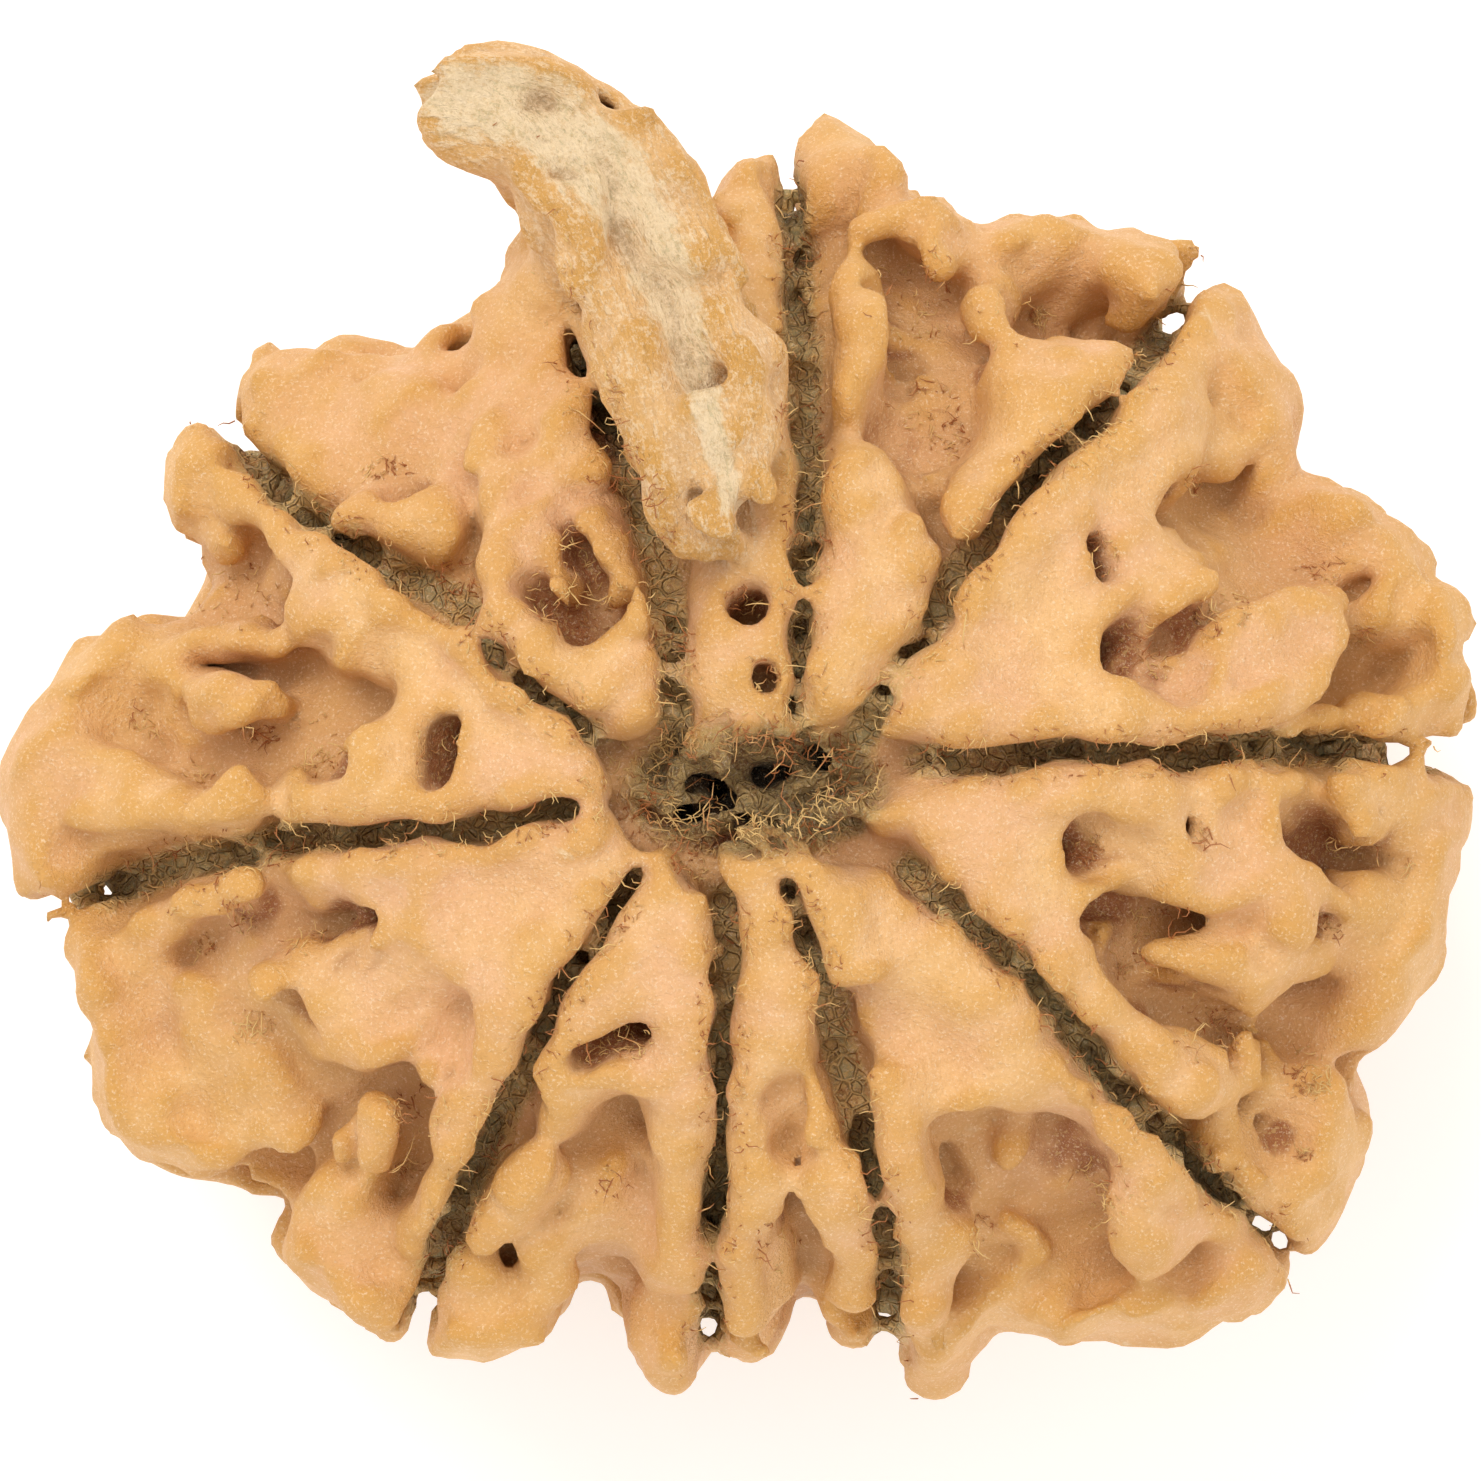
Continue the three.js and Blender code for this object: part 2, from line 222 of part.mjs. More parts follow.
// Crests along the shelves: radius, centre line above the body, plan
const CRESTS = [
  [0.5, -0.22, [[4.6, 1.3], [7.6, 1.45], [10.4, 1.5], [11.4, 2.1], [11.8, 2.9]]],
  [0.5, -0.25, [[4.9, 3.8], [6.2, 5.6], [7.4, 6.8], [8.5, 7.7]]],
  [0.5, -0.25, [[5.8, -0.15], [8.4, -0.15], [10.6, 0.05], [11.2, -0.1]]],
  [0.4, -0.2, [[10.7, -0.3], [10.6, -1.3], [10.9, -2.3]]],
  [0.5, -0.3, [[5.6, -2.8], [7.2, -4.4], [9.1, -5.9]]],
  [0.55, -0.3, [[2.0, -2.5], [2.6, -3.6], [2.9, -4.2]]],
  [0.6, -0.3, [[3.0, -5.8], [3.2, -7.0], [3.45, -8.0]]],
  [0.45, -0.25, [[6.4, -5.7], [7.6, -7.0], [9.0, -8.3]]],
  [0.45, -0.25, [[8.0, -8.5], [8.4, -9.3]]],
  [0.5, -0.35, [[0.5, -4.4], [0.4, -6.0], [0.3, -8.6]]],
  [0.42, -0.25, [[1.25, -5.6], [1.6, -7.0], [2.1, -8.8]]],
  [0.4, -0.2, [[-2.4, -3.2], [-3.3, -5.2], [-3.85, -6.3]]],
  [0.3, -0.05, [[-3.6, -6.0], [-2.6, -5.75], [-1.9, -5.8]]],
  [0.45, -0.25, [[-1.1, -3.4], [-1.15, -6.2], [-1.3, -8.3]]],
  [0.45, -0.2, [[-3.2, -1.1], [-5.2, -1.5], [-8.8, -1.7]]],
  [0.45, -0.25, [[-7.6, -3.4], [-8.8, -4.1], [-9.3, -4.3]]],
  [0.45, -0.25, [[-2.9, -2.3], [-4.2, -3.8], [-4.9, -5.4], [-5.7, -7.3], [-6.4, -8.9]]],
  [0.42, -0.2, [[-3.6, 1.0], [-5.6, 2.8], [-8.2, 4.4], [-10.3, 6.0]]],
  [0.4, -0.2, [[-3.6, -0.05], [-6.0, -0.35], [-8.8, -0.4]]],
  [0.35, -0.1, [[-7.4, 0.9], [-7.3, 0.2]]],
  [0.4, -0.1, [[-9.2, 1.6], [-11.2, 1.9]]],
  [0.45, -0.1, [[-2.8, 1.9], [-4.6, 3.2], [-4.8, 5.7], [-4.0, 6.4], [-3.0, 6.2]]],
  [0.35, 0.05, [[-2.5, 5.4], [-2.1, 4.4], [-2.0, 3.2]]],
  [0.4, -0.25, [[2.1, 6.3], [2.6, 4.8], [2.4, 3.2]]],
  [0.45, -0.3, [[3.2, 5.0], [3.3, 4.2]]],
  [0.5, -0.3, [[5.0, 5.9], [5.9, 7.0], [6.8, 8.1]]],
  [0.35, -0.15, [[-5.7, 7.3], [-4.7, 8.2], [-4.0, 9.4]]],
];

// Pits: ends in plan, radius, depth below the body
const PITS = [
  [7.15, 4.9, 7.25, 4.45, 0.3, 1.6], [8.0, 3.1, 7.65, 2.5, 0.36, 2.0],
  [8.2, 2.4, 8.6, 2.6, 0.3, 0.9], [9.3, 3.5, 9.3, 3.1, 0.3, 1.3],
  [6.95, -1.2, 7.0, -1.5, 0.28, 1.8], [9.15, -0.9, 9.3, -1.15, 0.24, 1.8],
  [7.3, -2.7, 8.9, -2.8, 0.4, 1.7], [7.6, -3.4, 7.9, -3.8, 0.35, 1.4],
  [9.0, -4.7, 9.8, -4.9, 0.38, 1.8], [11.6, -1.2, 13.4, -1.6, 0.22, 1.6],
  [11.4, -2.6, 12.0, -2.9, 0.2, 1.5], [11.2, -5.95, 11.6, -5.8, 0.28, 1.9],
  [11.2, -7.3, 11.3, -7.4, 0.18, 1.3], [4.8, -8.7, 4.95, -9.1, 0.34, 2.0],
  [7.1, -7.6, 7.2, -8.9, 0.3, 1.9], [-3.2, -5.4, -2.3, -5.15, 0.26, 1.0],
  [-2.2, -5.1, -1.95, -5.1, 0.32, 2.0], [-2.6, -7.8, -2.4, -7.9, 0.33, 1.8],
  [-9.0, -3.3, -7.5, -2.6, 0.24, 1.2], [-6.9, -6.3, -6.5, -6.45, 0.28, 1.5],
  [-6.8, -7.7, -6.65, -7.55, 0.2, 1.6], [-9.9, -4.75, -9.5, -4.8, 0.34, 1.8],
  [-10.8, -3.2, -10.6, -3.1, 0.22, 1.5], [-10.3, -2.6, -9.8, -2.6, 0.3, 1.3],
  [-6.0, 1.1, -6.15, 0.2, 0.36, 2.0], [-8.5, 0.5, -8.1, 0.45, 0.24, 1.1],
  [-9.8, 1.0, -9.2, 1.0, 0.2, 1.1], [-10.9, 0.3, -10.6, 0.15, 0.2, 0.9],
  [-12.0, 1.4, -11.8, 1.1, 0.26, 1.5], [-10.1, 4.0, -9.5, 3.9, 0.45, 1.9],
  [-3.5, 5.2, -3.1, 4.2, 0.3, 1.2], [-3.1, 4.2, -3.05, 3.4, 0.42, 1.6],
  [-4.1, 3.9, -3.2, 3.1, 0.34, 1.3], [-2.4, 3.8, -3.0, 3.3, 0.32, 1.4],
  [-7.4, 6.25, -6.8, 6.3, 0.2, 1.3], [0.0, 3.5, 0.3, 3.8, 0.36, 1.9],
  [0.45, 2.25, 0.55, 2.15, 0.3, 1.3], [3.0, 10.1, 3.9, 9.8, 0.42, 1.9],
  [3.7, 9.2, 3.9, 9.2, 0.3, 1.8], [3.1, 7.6, 4.3, 7.4, 0.42, 1.5], [4.1, 6.6, 4.5, 7.0, 0.22, 1.4],
  [5.8, 9.5, 6.0, 9.3, 0.2, 1.6], [12.4, 3.05, 12.5, 2.9, 0.2, 1.5],
  [11.2, 4.2, 11.9, 4.3, 0.22, 1.5], [9.1, 6.1, 8.9, 5.9, 0.2, 1.5],
  [-1.6, -0.4, -1.5, -0.5, 0.36, 3.6], [-0.7, -0.35, -0.05, -0.6, 0.42, 4.2],
  [0.9, 0.3, 1.0, 0.8, 0.3, 2.8], [2.1, 0.7, 2.25, 0.6, 0.24, 2.4],
  [1.3, -0.7, 1.6, -1.2, 0.4, 1.5], [-1.1, -1.3, -0.9, -1.8, 0.36, 1.0],
  [-1.7, 0.75, -1.5, 0.65, 0.22, 1.8], [0.0, -0.8, 0.7, -0.8, 0.25, 2.4],
];

// Broad shallow hollows: ends in plan, radius, depth below the body
const HOLLOWS = [
  [-1.5, 0.0, 1.8, 0.0, 1.0, 0.9], [-8.8, 1.6, -7.6, 2.1, 0.9, 0.55],
  [-6.0, -5.2, -5.8, -4.8, 0.5, 0.8], [-8.2, -3.6, -6.4, -4.4, 1.0, 0.45],
  [7.3, -1.3, 7.9, -1.6, 0.7, 0.8], [8.1, 2.9, 8.9, 2.4, 0.6, 0.8],
  [3.0, -4.7, 4.2, -5.4, 0.7, 0.5], [-8.2, 6.6, -6.2, 6.9, 0.8, 0.8],
  [3.5, 7.6, 4.1, 7.8, 0.9, 1.0], [3.4, 9.9, 3.8, 9.6, 0.6, 1.0],
  [0.95, -6.4, 1.05, -7.3, 0.3, 0.7], [-11.8, 4.2, -10.2, 4.2, 0.7, 1.3],
  [4.8, -7.4, 6.6, -8.0, 0.8, 1.5], [5.8, 9.4, 6.0, 9.9, 0.35, 1.0],
  [10.0, 4.6, 10.8, 4.9, 0.8, 1.0], [12.8, 2.5, 13.4, 2.5, 0.6, 1.2],
  [11.6, -0.9, 12.2, -1.4, 0.4, 0.9], [-12.6, 1.4, -12.0, 1.5, 0.5, 1.1],
  [-10.6, -5.2, -9.6, -5.0, 0.7, 1.3], [2.2, -4.7, 2.8, -4.8, 0.35, 0.5],
  [9.5, -9.6, 9.1, -9.9, 0.3, 0.8],
];

// The outgrowth over the rim: plan, the height of its crest, and its thickness
const TRUNK_PLAN = [
  [-0.2, 4.5], [0.15, 4.9], [0.15, 5.4], [0.4, 6.3], [0.75, 7.2], [0.85, 8.2], [0.5, 9.2],
  [0.0, 10.0], [-0.3, 11.0], [-0.6, 11.6], [-1.1, 12.1], [-1.4, 12.9], [-1.8, 13.4], [-2.6, 13.65],
  [-3.1, 14.0], [-3.5, 14.4], [-4.2, 14.8], [-5.0, 14.85], [-5.6, 14.5], [-6.0, 14.3],
  [-6.3, 13.5], [-6.1, 12.9], [-5.8, 12.5], [-5.0, 12.15], [-4.5, 11.9], [-4.4, 11.4],
  [-4.1, 10.8], [-3.6, 10.1], [-3.1, 9.4], [-2.9, 8.6], [-2.5, 7.8], [-2.2, 7.0], [-1.9, 6.1],
  [-1.6, 5.3], [-0.9, 4.6],
];
const TRUNK_CREST_START = 12.0;
const TRUNK_CREST_START_Y = 5.0;
const TRUNK_CREST_SLOPE = 0.36;
const TRUNK_THICKNESS = 3.4;
const TRUNK_LOWEST = 2;
const TRUNK_EDGE_ROUND = 2.0;
const TRUNK_ROOTS = [
  [-0.9, 6.2, 8.2, -1.6, 9.0, 7.0, 1.0], [-1.6, 9.0, 7.0, -2.6, 11.4, 5.6, 1.1],
  [-2.0, 9.5, 4.4, -3.8, 12.2, 6.6, 1.0], [-4.6, 9.0, 5.6, -3.2, 10.2, 7.0, 0.8],
];

// Ridges and cuts on the outgrowth's crest: ends in plan, radius, rise above the crest
const TRUNK_RIDGES = [
  [-2.3, 13.0, -1.7, 12.1, 0.5, 0.15], [-1.3, 12.0, -0.6, 10.6, 0.5, 0.12],
  [-0.5, 10.3, 0.1, 8.7, 0.55, 0.05], [0.2, 8.4, 0.15, 7.0, 0.55, -0.1],
  [-3.4, 10.9, -2.9, 9.6, 0.45, 0.1], [-2.7, 9.2, -2.3, 8.0, 0.5, 0.15],
  [-2.0, 7.5, -1.4, 6.0, 0.45, 0.05], [-1.2, 5.6, -0.4, 5.2, 0.55, 0.05],
  [-5.8, 13.2, -4.0, 12.9, 0.55, 0.2], [-5.5, 14.0, -4.0, 14.3, 0.4, 0.1],
  [-3.9, 14.2, -3.1, 13.7, 0.35, 0.12], [-4.1, 11.5, -3.9, 12.1, 0.26, 0.3],
  [-3.8, 12.2, -3.2, 12.2, 0.26, 0.32], [-3.1, 12.1, -2.9, 11.7, 0.24, 0.25],
];
const TRUNK_CUTS = [
  [-3.1, 13.3, -2.6, 12.7, 0.26, 0.05], [-2.5, 12.6, -2.0, 11.8, 0.2, 0.05],
  [-2.0, 11.8, -1.6, 10.9, 0.14, 0.05], [-3.8, 11.85, -3.3, 11.85, 0.2, -0.1],
  [-4.9, 13.5, -4.3, 13.5, 0.14, 0.1], [-5.0, 14.1, -4.0, 13.9, 0.1, 0.12],
  [-1.9, 8.4, -1.6, 7.6, 0.16, 0.08],
];

// The raised net on the flanks and underside, drawn by rule
const NET_SEED = 20;
const NET_ROWS = 7;
const NET_TOP_LATITUDE = 2;
const NET_BOTTOM_LATITUDE = -76;
const NET_GROOVE_MARGIN = 1.05;
const NET_MIDDLE_WIDTH = 5.2;
const NET_BAR_RADIUS = 0.9;
const NET_BAR_RADIUS_SPREAD = 0.3;
const NET_BAR_DROP = 1.0;
const NET_BAR_DROP_SPREAD = 0.35;
const NET_LOW_BAR_RISE = 0.15;
const NET_CROSS_CHANCE = 0.8;
const NET_MIDDLE_CHANCE = 0.5;
const NET_KNOB_CHANCE = 0.45;
const NET_KNOB_RADIUS = 1.2;
const NET_JITTER = 0.6;

// Pits in the flanks and underside, drawn by rule
const FLANK_PIT_SEED = 5;
const FLANK_PITS = 56;
const FLANK_PIT_TOP_LATITUDE = 16;
const FLANK_PIT_BOTTOM_LATITUDE = -62;
const FLANK_PIT_RADIUS = 0.45;
const FLANK_PIT_RADIUS_SPREAD = 0.55;
const FLANK_PIT_DEPTH = 2.2;
const PIT_MOUTH = 0.6;
const PIT_FLOOR_SHARE = 0.75;
const NARROWEST_PIT = 0.26;

// Gentle unevenness of the whole surface
const SWELL_SEED = 7;
const SWELL_WAVES = 16;
const SWELL_LONG = 6;
const SWELL_SHORT = 2.6;
const SWELL_HEIGHT = 0.14;

// Dimples in the flanks, with the heights between which they fade in from above and from below
const DIMPLE_SEED = 12;
const DIMPLE_WAVES = 18;
const DIMPLE_LONG = 6.5;
const DIMPLE_SHORT = 3.6;
const DIMPLE_DEPTH = 0.7;
const DIMPLE_FROM = -0.1;
const DIMPLE_FULL = 1.4;
const DIMPLE_FADE_HIGH = [0.5, 4];
const DIMPLE_FADE_LOW = [-8.8, -5.5];

// Softness of joins and cuts
const SHELF_BLEND = 0.3;
const KNOB_BLEND = 0.35;
const CUT_BLEND = 0.2;

// Sampling of the form
const CELL = 0.42;
const GRID_LOW = [-16, -13.6, -11.4];
const GRID_COUNT = [77, 71, 59];
const FAR = 1.5;
const EDGE_KEEP = 0.03;
const TOUCH_GAP = 0.03;
const TARGET_TRIANGLES = 11300;
const PLAN_STEPS = 3;
const LINE_STEPS = 2;

const DEGREE = Math.PI / 180;

function seededDraws(seed) {
  let state = seed >>> 0;
  return () => {
    state = (state + 0x6d2b79f5) >>> 0;
    let t = state;
    t = Math.imul(t ^ (t >>> 15), t | 1);
    t ^= t + Math.imul(t ^ (t >>> 7), t | 61);
    return ((t ^ (t >>> 14)) >>> 0) / 4294967296;
  };
}

function softMin(a, b, k) {
  const h = Math.max(k - Math.abs(a - b), 0) / k;
  return Math.min(a, b) - h * h * k * 0.25;
}

const softMax = (a, b, k) => -softMin(-a, -b, k);

// Points along a smooth line through the given ones
function smoothLine(points, steps, closed) {
  const line = new THREE.CatmullRomCurve3(
    points.map(([x, y]) => new THREE.Vector3(x, y, 0)),
    closed,
    "catmullrom",
    0.5,
  );
  const count = (points.length - (closed ? 0 : 1)) * steps;
  const made = line.getPoints(count).map((p) => [p.x, p.y]);
  return closed ? made.slice(0, -1) : made;
}

function distanceToPiece(x, y, a, b) {
  const ex = b[0] - a[0];
  const ey = b[1] - a[1];
  const t = THREE.MathUtils.clamp(
    ((x - a[0]) * ex + (y - a[1]) * ey) / (ex * ex + ey * ey), 0, 1);
  return Math.hypot(x - a[0] - ex * t, y - a[1] - ey * t);
}

function distanceToLine(x, y, line) {
  let least = Infinity;
  for (let i = 1; i < line.length; i++)
    least = Math.min(least, distanceToPiece(x, y, line[i - 1], line[i]));
  return least;
}

// Distance in plan to a closed outline, negative inside it
function distanceToOutline(x, y, outline) {
  let least = Infinity;
  let inside = false;
  outline.forEach((b, i) => {
    const a = outline[(i || outline.length) - 1];
    least = Math.min(least, distanceToPiece(x, y, a, b));
    if (a[1] > y !== b[1] > y &&
      x < ((b[0] - a[0]) * (y - a[1])) / (b[1] - a[1]) + a[0]) inside = !inside;
  });
  return inside ? -least : least;
}

// Radius of the body's rim in a direction, from the radii given round it
function rimRadius(x, y) {
  const count = RIM_RADII.length;
  const at = ((Math.atan2(y, x) / (2 * Math.PI) + 1) % 1) * count;
  const i = Math.floor(at);
  const t = at - i;
  const [a, b, c, d] = [-1, 0, 1, 2].map((k) => RIM_RADII[(i + k + count) % count]);
  return b + 0.5 * t * (c - a + t * (2 * a - 5 * b + 4 * c - d + t * (3 * (b - c) + d - a)));
}

// How far out a point lies, where 1 is the body's surface
function bodyShare(x, y, z) {
  const flat = Math.hypot(x, y) / rimRadius(x, y);
  const tall = Math.abs(z) / BODY_HALF_HEIGHT;
  return (flat ** BODY_POWER + tall ** BODY_POWER) ** (1 / BODY_POWER);
}

// The point on a ray from the middle, at a distance above the body
function raisedAlong(direction, lift) {
  const length = direction.length();
  const surface = length / bodyShare(direction.x, direction.y, direction.z);
  return direction.clone().multiplyScalar((surface + lift) / length);
}

// The point of the upper body over a place in plan, raised along its ray
function overPlan(x, y, lift) {
  const flat = Math.min(Math.hypot(x, y) / rimRadius(x, y), 0.998);
  const z = BODY_HALF_HEIGHT * (1 - flat ** BODY_POWER) ** (1 / BODY_POWER);
  return raisedAlong(new THREE.Vector3(x, y, z), lift);
}

const [COUNT_X, COUNT_Y, COUNT_Z] = GRID_COUNT;
const cellAt = (i, j, k) => (i * COUNT_Y + j) * COUNT_Z + k;
const place = (axis, i) => GRID_LOW[axis] + i * CELL;
const form = new Float32Array(COUNT_X * COUNT_Y * COUNT_Z);
const above = new Float32Array(form.length);

// Visits the grid places within a box, column by column
function eachPlace(low, high, column) {
  const from = low.map((v, a) => Math.max(Math.floor((v - GRID_LOW[a]) / CELL), 0));
  const to = high.map((v, a) =>
    Math.min(Math.ceil((v - GRID_LOW[a]) / CELL), GRID_COUNT[a] - 1));
  for (let i = from[0]; i <= to[0]; i++)
    for (let j = from[1]; j <= to[1]; j++) {
      const visit = column(place(0, i), place(1, j));
      for (let k = from[2]; visit && k <= to[2]; k++) visit(cellAt(i, j, k), place(2, k));
    }
}

const GRID_HIGH = GRID_LOW.map((v, a) => v + (GRID_COUNT[a] - 1) * CELL);
const everywhere = (column) => eachPlace(GRID_LOW, GRID_HIGH, column);

function planBox(outline, lowZ, highZ) {
  const xs = outline.map((p) => p[0]);
  const ys = outline.map((p) => p[1]);
  return [
    [Math.min(...xs) - FAR, Math.min(...ys) - FAR, lowZ],
    [Math.max(...xs) + FAR, Math.max(...ys) + FAR, highZ],
  ];
}

// A round bar between two points, joined on or cut away
function bar(a, b, radiusA, radiusB, blend, cut, field = form) {
  const reach = Math.max(radiusA, radiusB) + FAR;
  const low = a.clone().min(b).subScalar(reach).toArray();
  const high = a.clone().max(b).addScalar(reach).toArray();
  const line = new THREE.Line3(a, b);
  const p = new THREE.Vector3();
  const near = new THREE.Vector3();
  eachPlace(low, high, (x, y) => (cell, z) => {
    p.set(x, y, z);
    const t = line.closestPointToPointParameter(p, true);
    const d = line.at(t, near).distanceTo(p) - THREE.MathUtils.lerp(radiusA, radiusB, t);
    field[cell] = cut ? softMax(field[cell], -d, blend) : softMin(field[cell], d, blend);
  });
}

function layBody() {
  everywhere((x, y) => (cell, z) => {
    const length = Math.hypot(x, y, z);
    above[cell] = length * (1 - 1 / Math.max(bodyShare(x, y, z), 0.01));
    form[cell] = Math.min(above[cell] + VALLEY_DEPTH, FAR);
  });
}

// A shelf stands over its plan, up to a level above the body and down to an underside
function raiseShelf(plan, levelAt, underside) {
  const outline = smoothLine(plan, PLAN_STEPS, true);
  eachPlace(...planBox(outline, GRID_LOW[2], GRID_HIGH[2]), (x, y) => {
    const side = distanceToOutline(x, y, outline);
    if (side > FAR) return null;
    const level = levelAt(Math.hypot(x, y) / rimRadius(x, y));
    return (cell, z) => {
      const topped = softMax(side, above[cell] - level, SHELF_EDGE_ROUND);
      const whole = softMax(topped, underside - z, SHELF_UNDER_ROUND);
      form[cell] = softMin(form[cell], whole, SHELF_BLEND);
    };
  });
}

function lowerLevel(share) {
  const rise = THREE.MathUtils.smoothstep(share, LOWER_SHELF_RISES_FROM, 1);
  return -THREE.MathUtils.lerp(LOWER_SHELF_DROP, LOWER_SHELF_RIM_DROP, rise);
}

function raiseEdges() {
  for (const [x1, y1, x2, y2, radius, lift] of KNOBS)
    bar(overPlan(x1, y1, lift), overPlan(x2, y2, lift), radius, radius, KNOB_BLEND, false);
  for (const [radius, lift, plan] of CRESTS) {
    const line = smoothLine(plan, LINE_STEPS, false).map(([x, y]) => overPlan(x, y, lift));
    for (let i = 1; i < line.length; i++)
      bar(line[i - 1], line[i], radius, radius, KNOB_BLEND, false);
  }
}

// Rows of bars down each segment, with jittered crossings between them
function raiseNet() {
  const draw = seededDraws(NET_SEED);
  const net = new Float32Array(form.length).fill(FAR);
  const ends = GROOVES.map((line) => Math.atan2(line.at(-1)[1], line.at(-1)[0]))
    .map((a) => (a + 2 * Math.PI) % (2 * Math.PI))
    .sort((a, b) => a - b);
  ends.forEach((start, s) => {
    const stop = s + 1 < ends.length ? ends[s + 1] : ends[0] + 2 * Math.PI;
    let last = [];
    for (let row = 0; row < NET_ROWS; row++) {
      const share = row / (NET_ROWS - 1);
      const latitude = THREE.MathUtils.lerp(NET_TOP_LATITUDE, NET_BOTTOM_LATITUDE, share) * DEGREE;
      const ring = RIM_RADII[0] * Math.cos(latitude);
      const width = (stop - start) * ring;
      const margin = Math.min(NET_GROOVE_MARGIN, width / 3) / ring;
      const jitter = () => ((draw() - 0.5) * NET_JITTER * 2) / ring;
      const columns = [start + margin, stop - margin];
      if (width > NET_MIDDLE_WIDTH) columns.splice(1, 0, (start + stop) / 2 + 2 * jitter());
      const nodes = columns.map((turn) => {
        const tilt = latitude + (draw() - 0.5) * NET_JITTER / BODY_HALF_HEIGHT;
        const way = new THREE.Vector3(
          Math.cos(turn) * Math.cos(tilt), Math.sin(turn) * Math.cos(tilt), Math.sin(tilt));
        const drop = NET_BAR_DROP - NET_LOW_BAR_RISE * Math.min(2 * share, 1) +
          draw() * NET_BAR_DROP_SPREAD;
        const radius = NET_BAR_RADIUS + draw() * NET_BAR_RADIUS_SPREAD;
        return { at: raisedAlong(way, -drop), radius };
      });
      const join = (a, b) => bar(a.at, b.at, a.radius, b.radius, KNOB_BLEND, false, net);
      if (last.length) {
        join(last[0], nodes[0]);
        join(last.at(-1), nodes.at(-1));
        if (last.length > 2 && nodes.length > 2 && draw() < NET_MIDDLE_CHANCE) join(last[1], nodes[1]);
      }
      for (let i = 1; i < nodes.length; i++)
        if (draw() < NET_CROSS_CHANCE) join(nodes[i - 1], nodes[i]);
      for (const node of nodes)
        if (draw() < NET_KNOB_CHANCE)
          bar(node.at, node.at, NET_KNOB_RADIUS, NET_KNOB_RADIUS, KNOB_BLEND, false, net);
      last = nodes;
    }
  });
  joinWithinShelves(net);
}

// Joins the net on, no further out in plan than the lower shelves
function joinWithinShelves(net) {
  const outlines = LOWER_SHELVES.map((plan) => smoothLine(plan, PLAN_STEPS, true));
  everywhere((x, y) => {
    const side = Math.min(...outlines.map((outline) => distanceToOutline(x, y, outline)));
    const deep = Math.hypot(x, y) - rimRadius(x, y) + VALLEY_DEPTH;
    return (cell) => {
      const kept = softMax(net[cell], Math.min(side, deep), CUT_BLEND);
      form[cell] = softMin(form[cell], kept, KNOB_BLEND);
    };
  });
}

// Slots along the grooves, shallower where they cross the rim
function cutGrooves() {
  const lines = GROOVES.map((plan) => smoothLine(plan, LINE_STEPS, false));
  everywhere((x, y) => {
    const side = Math.min(...lines.map((line) => distanceToLine(x, y, line)));
    const half = THREE.MathUtils.lerp(GROOVE_HALF_WIDTH_POLE, GROOVE_HALF_WIDTH_RIM,
      Math.min(Math.hypot(x, y) / GROOVE_WIDENS_OVER, 1));
    if (side - half > FAR) return null;
    return (cell, z) => {
      const rise = GROOVE_RIM_RISE * Math.max(1 - Math.abs(z) / GROOVE_RIM_REACH, 0);
      const slot = softMax(side - half, rise - above[cell] - GROOVE_DEPTH, CUT_BLEND);
      form[cell] = softMax(form[cell], -slot, CUT_BLEND);
    };
  });
}

function cutPits() {
  const draw = seededDraws(FLANK_PIT_SEED);
  for (let i = 0; i < FLANK_PITS; i++) {
    const turn = 2 * Math.PI * draw();
    const latitude = THREE.MathUtils.lerp(
      FLANK_PIT_TOP_LATITUDE, FLANK_PIT_BOTTOM_LATITUDE, draw()) * DEGREE;
    const way = new THREE.Vector3(
      Math.cos(turn) * Math.cos(latitude), Math.sin(turn) * Math.cos(latitude), Math.sin(latitude));
    const radius = FLANK_PIT_RADIUS + draw() * FLANK_PIT_RADIUS_SPREAD;
    bar(raisedAlong(way, radius - FLANK_PIT_DEPTH), raisedAlong(way, PIT_MOUTH),
      radius * PIT_FLOOR_SHARE, radius, KNOB_BLEND, true);
  }
  for (const [x1, y1, x2, y2, radius, depth] of PITS) {
    if (radius < NARROWEST_PIT) continue;
    const steps = Math.max(Math.ceil(Math.hypot(x2 - x1, y2 - y1) / radius), 1);
    for (let i = 0; i <= steps; i++) {
      const x = THREE.MathUtils.lerp(x1, x2, i / steps);
      const y = THREE.MathUtils.lerp(y1, y2, i / steps);
      bar(overPlan(x, y, -depth), overPlan(x, y, PIT_MOUTH), radius * PIT_FLOOR_SHARE, radius,
        CUT_BLEND, true);
    }
  }
  for (const [x1, y1, x2, y2, radius, depth] of HOLLOWS) {
    const lift = radius - depth;
    bar(overPlan(x1, y1, lift), overPlan(x2, y2, lift), radius, radius, 2 * KNOB_BLEND, true);
  }
}

const crestAt = (y) => TRUNK_CREST_START - TRUNK_CREST_SLOPE * (y - TRUNK_CREST_START_Y);

function barOnCrest([x1, y1, x2, y2, radius], lift, blend, cut) {
  bar(new THREE.Vector3(x1, y1, crestAt(y1) + lift), new THREE.Vector3(x2, y2, crestAt(y2) + lift),
    radius, radius, blend, cut);
}

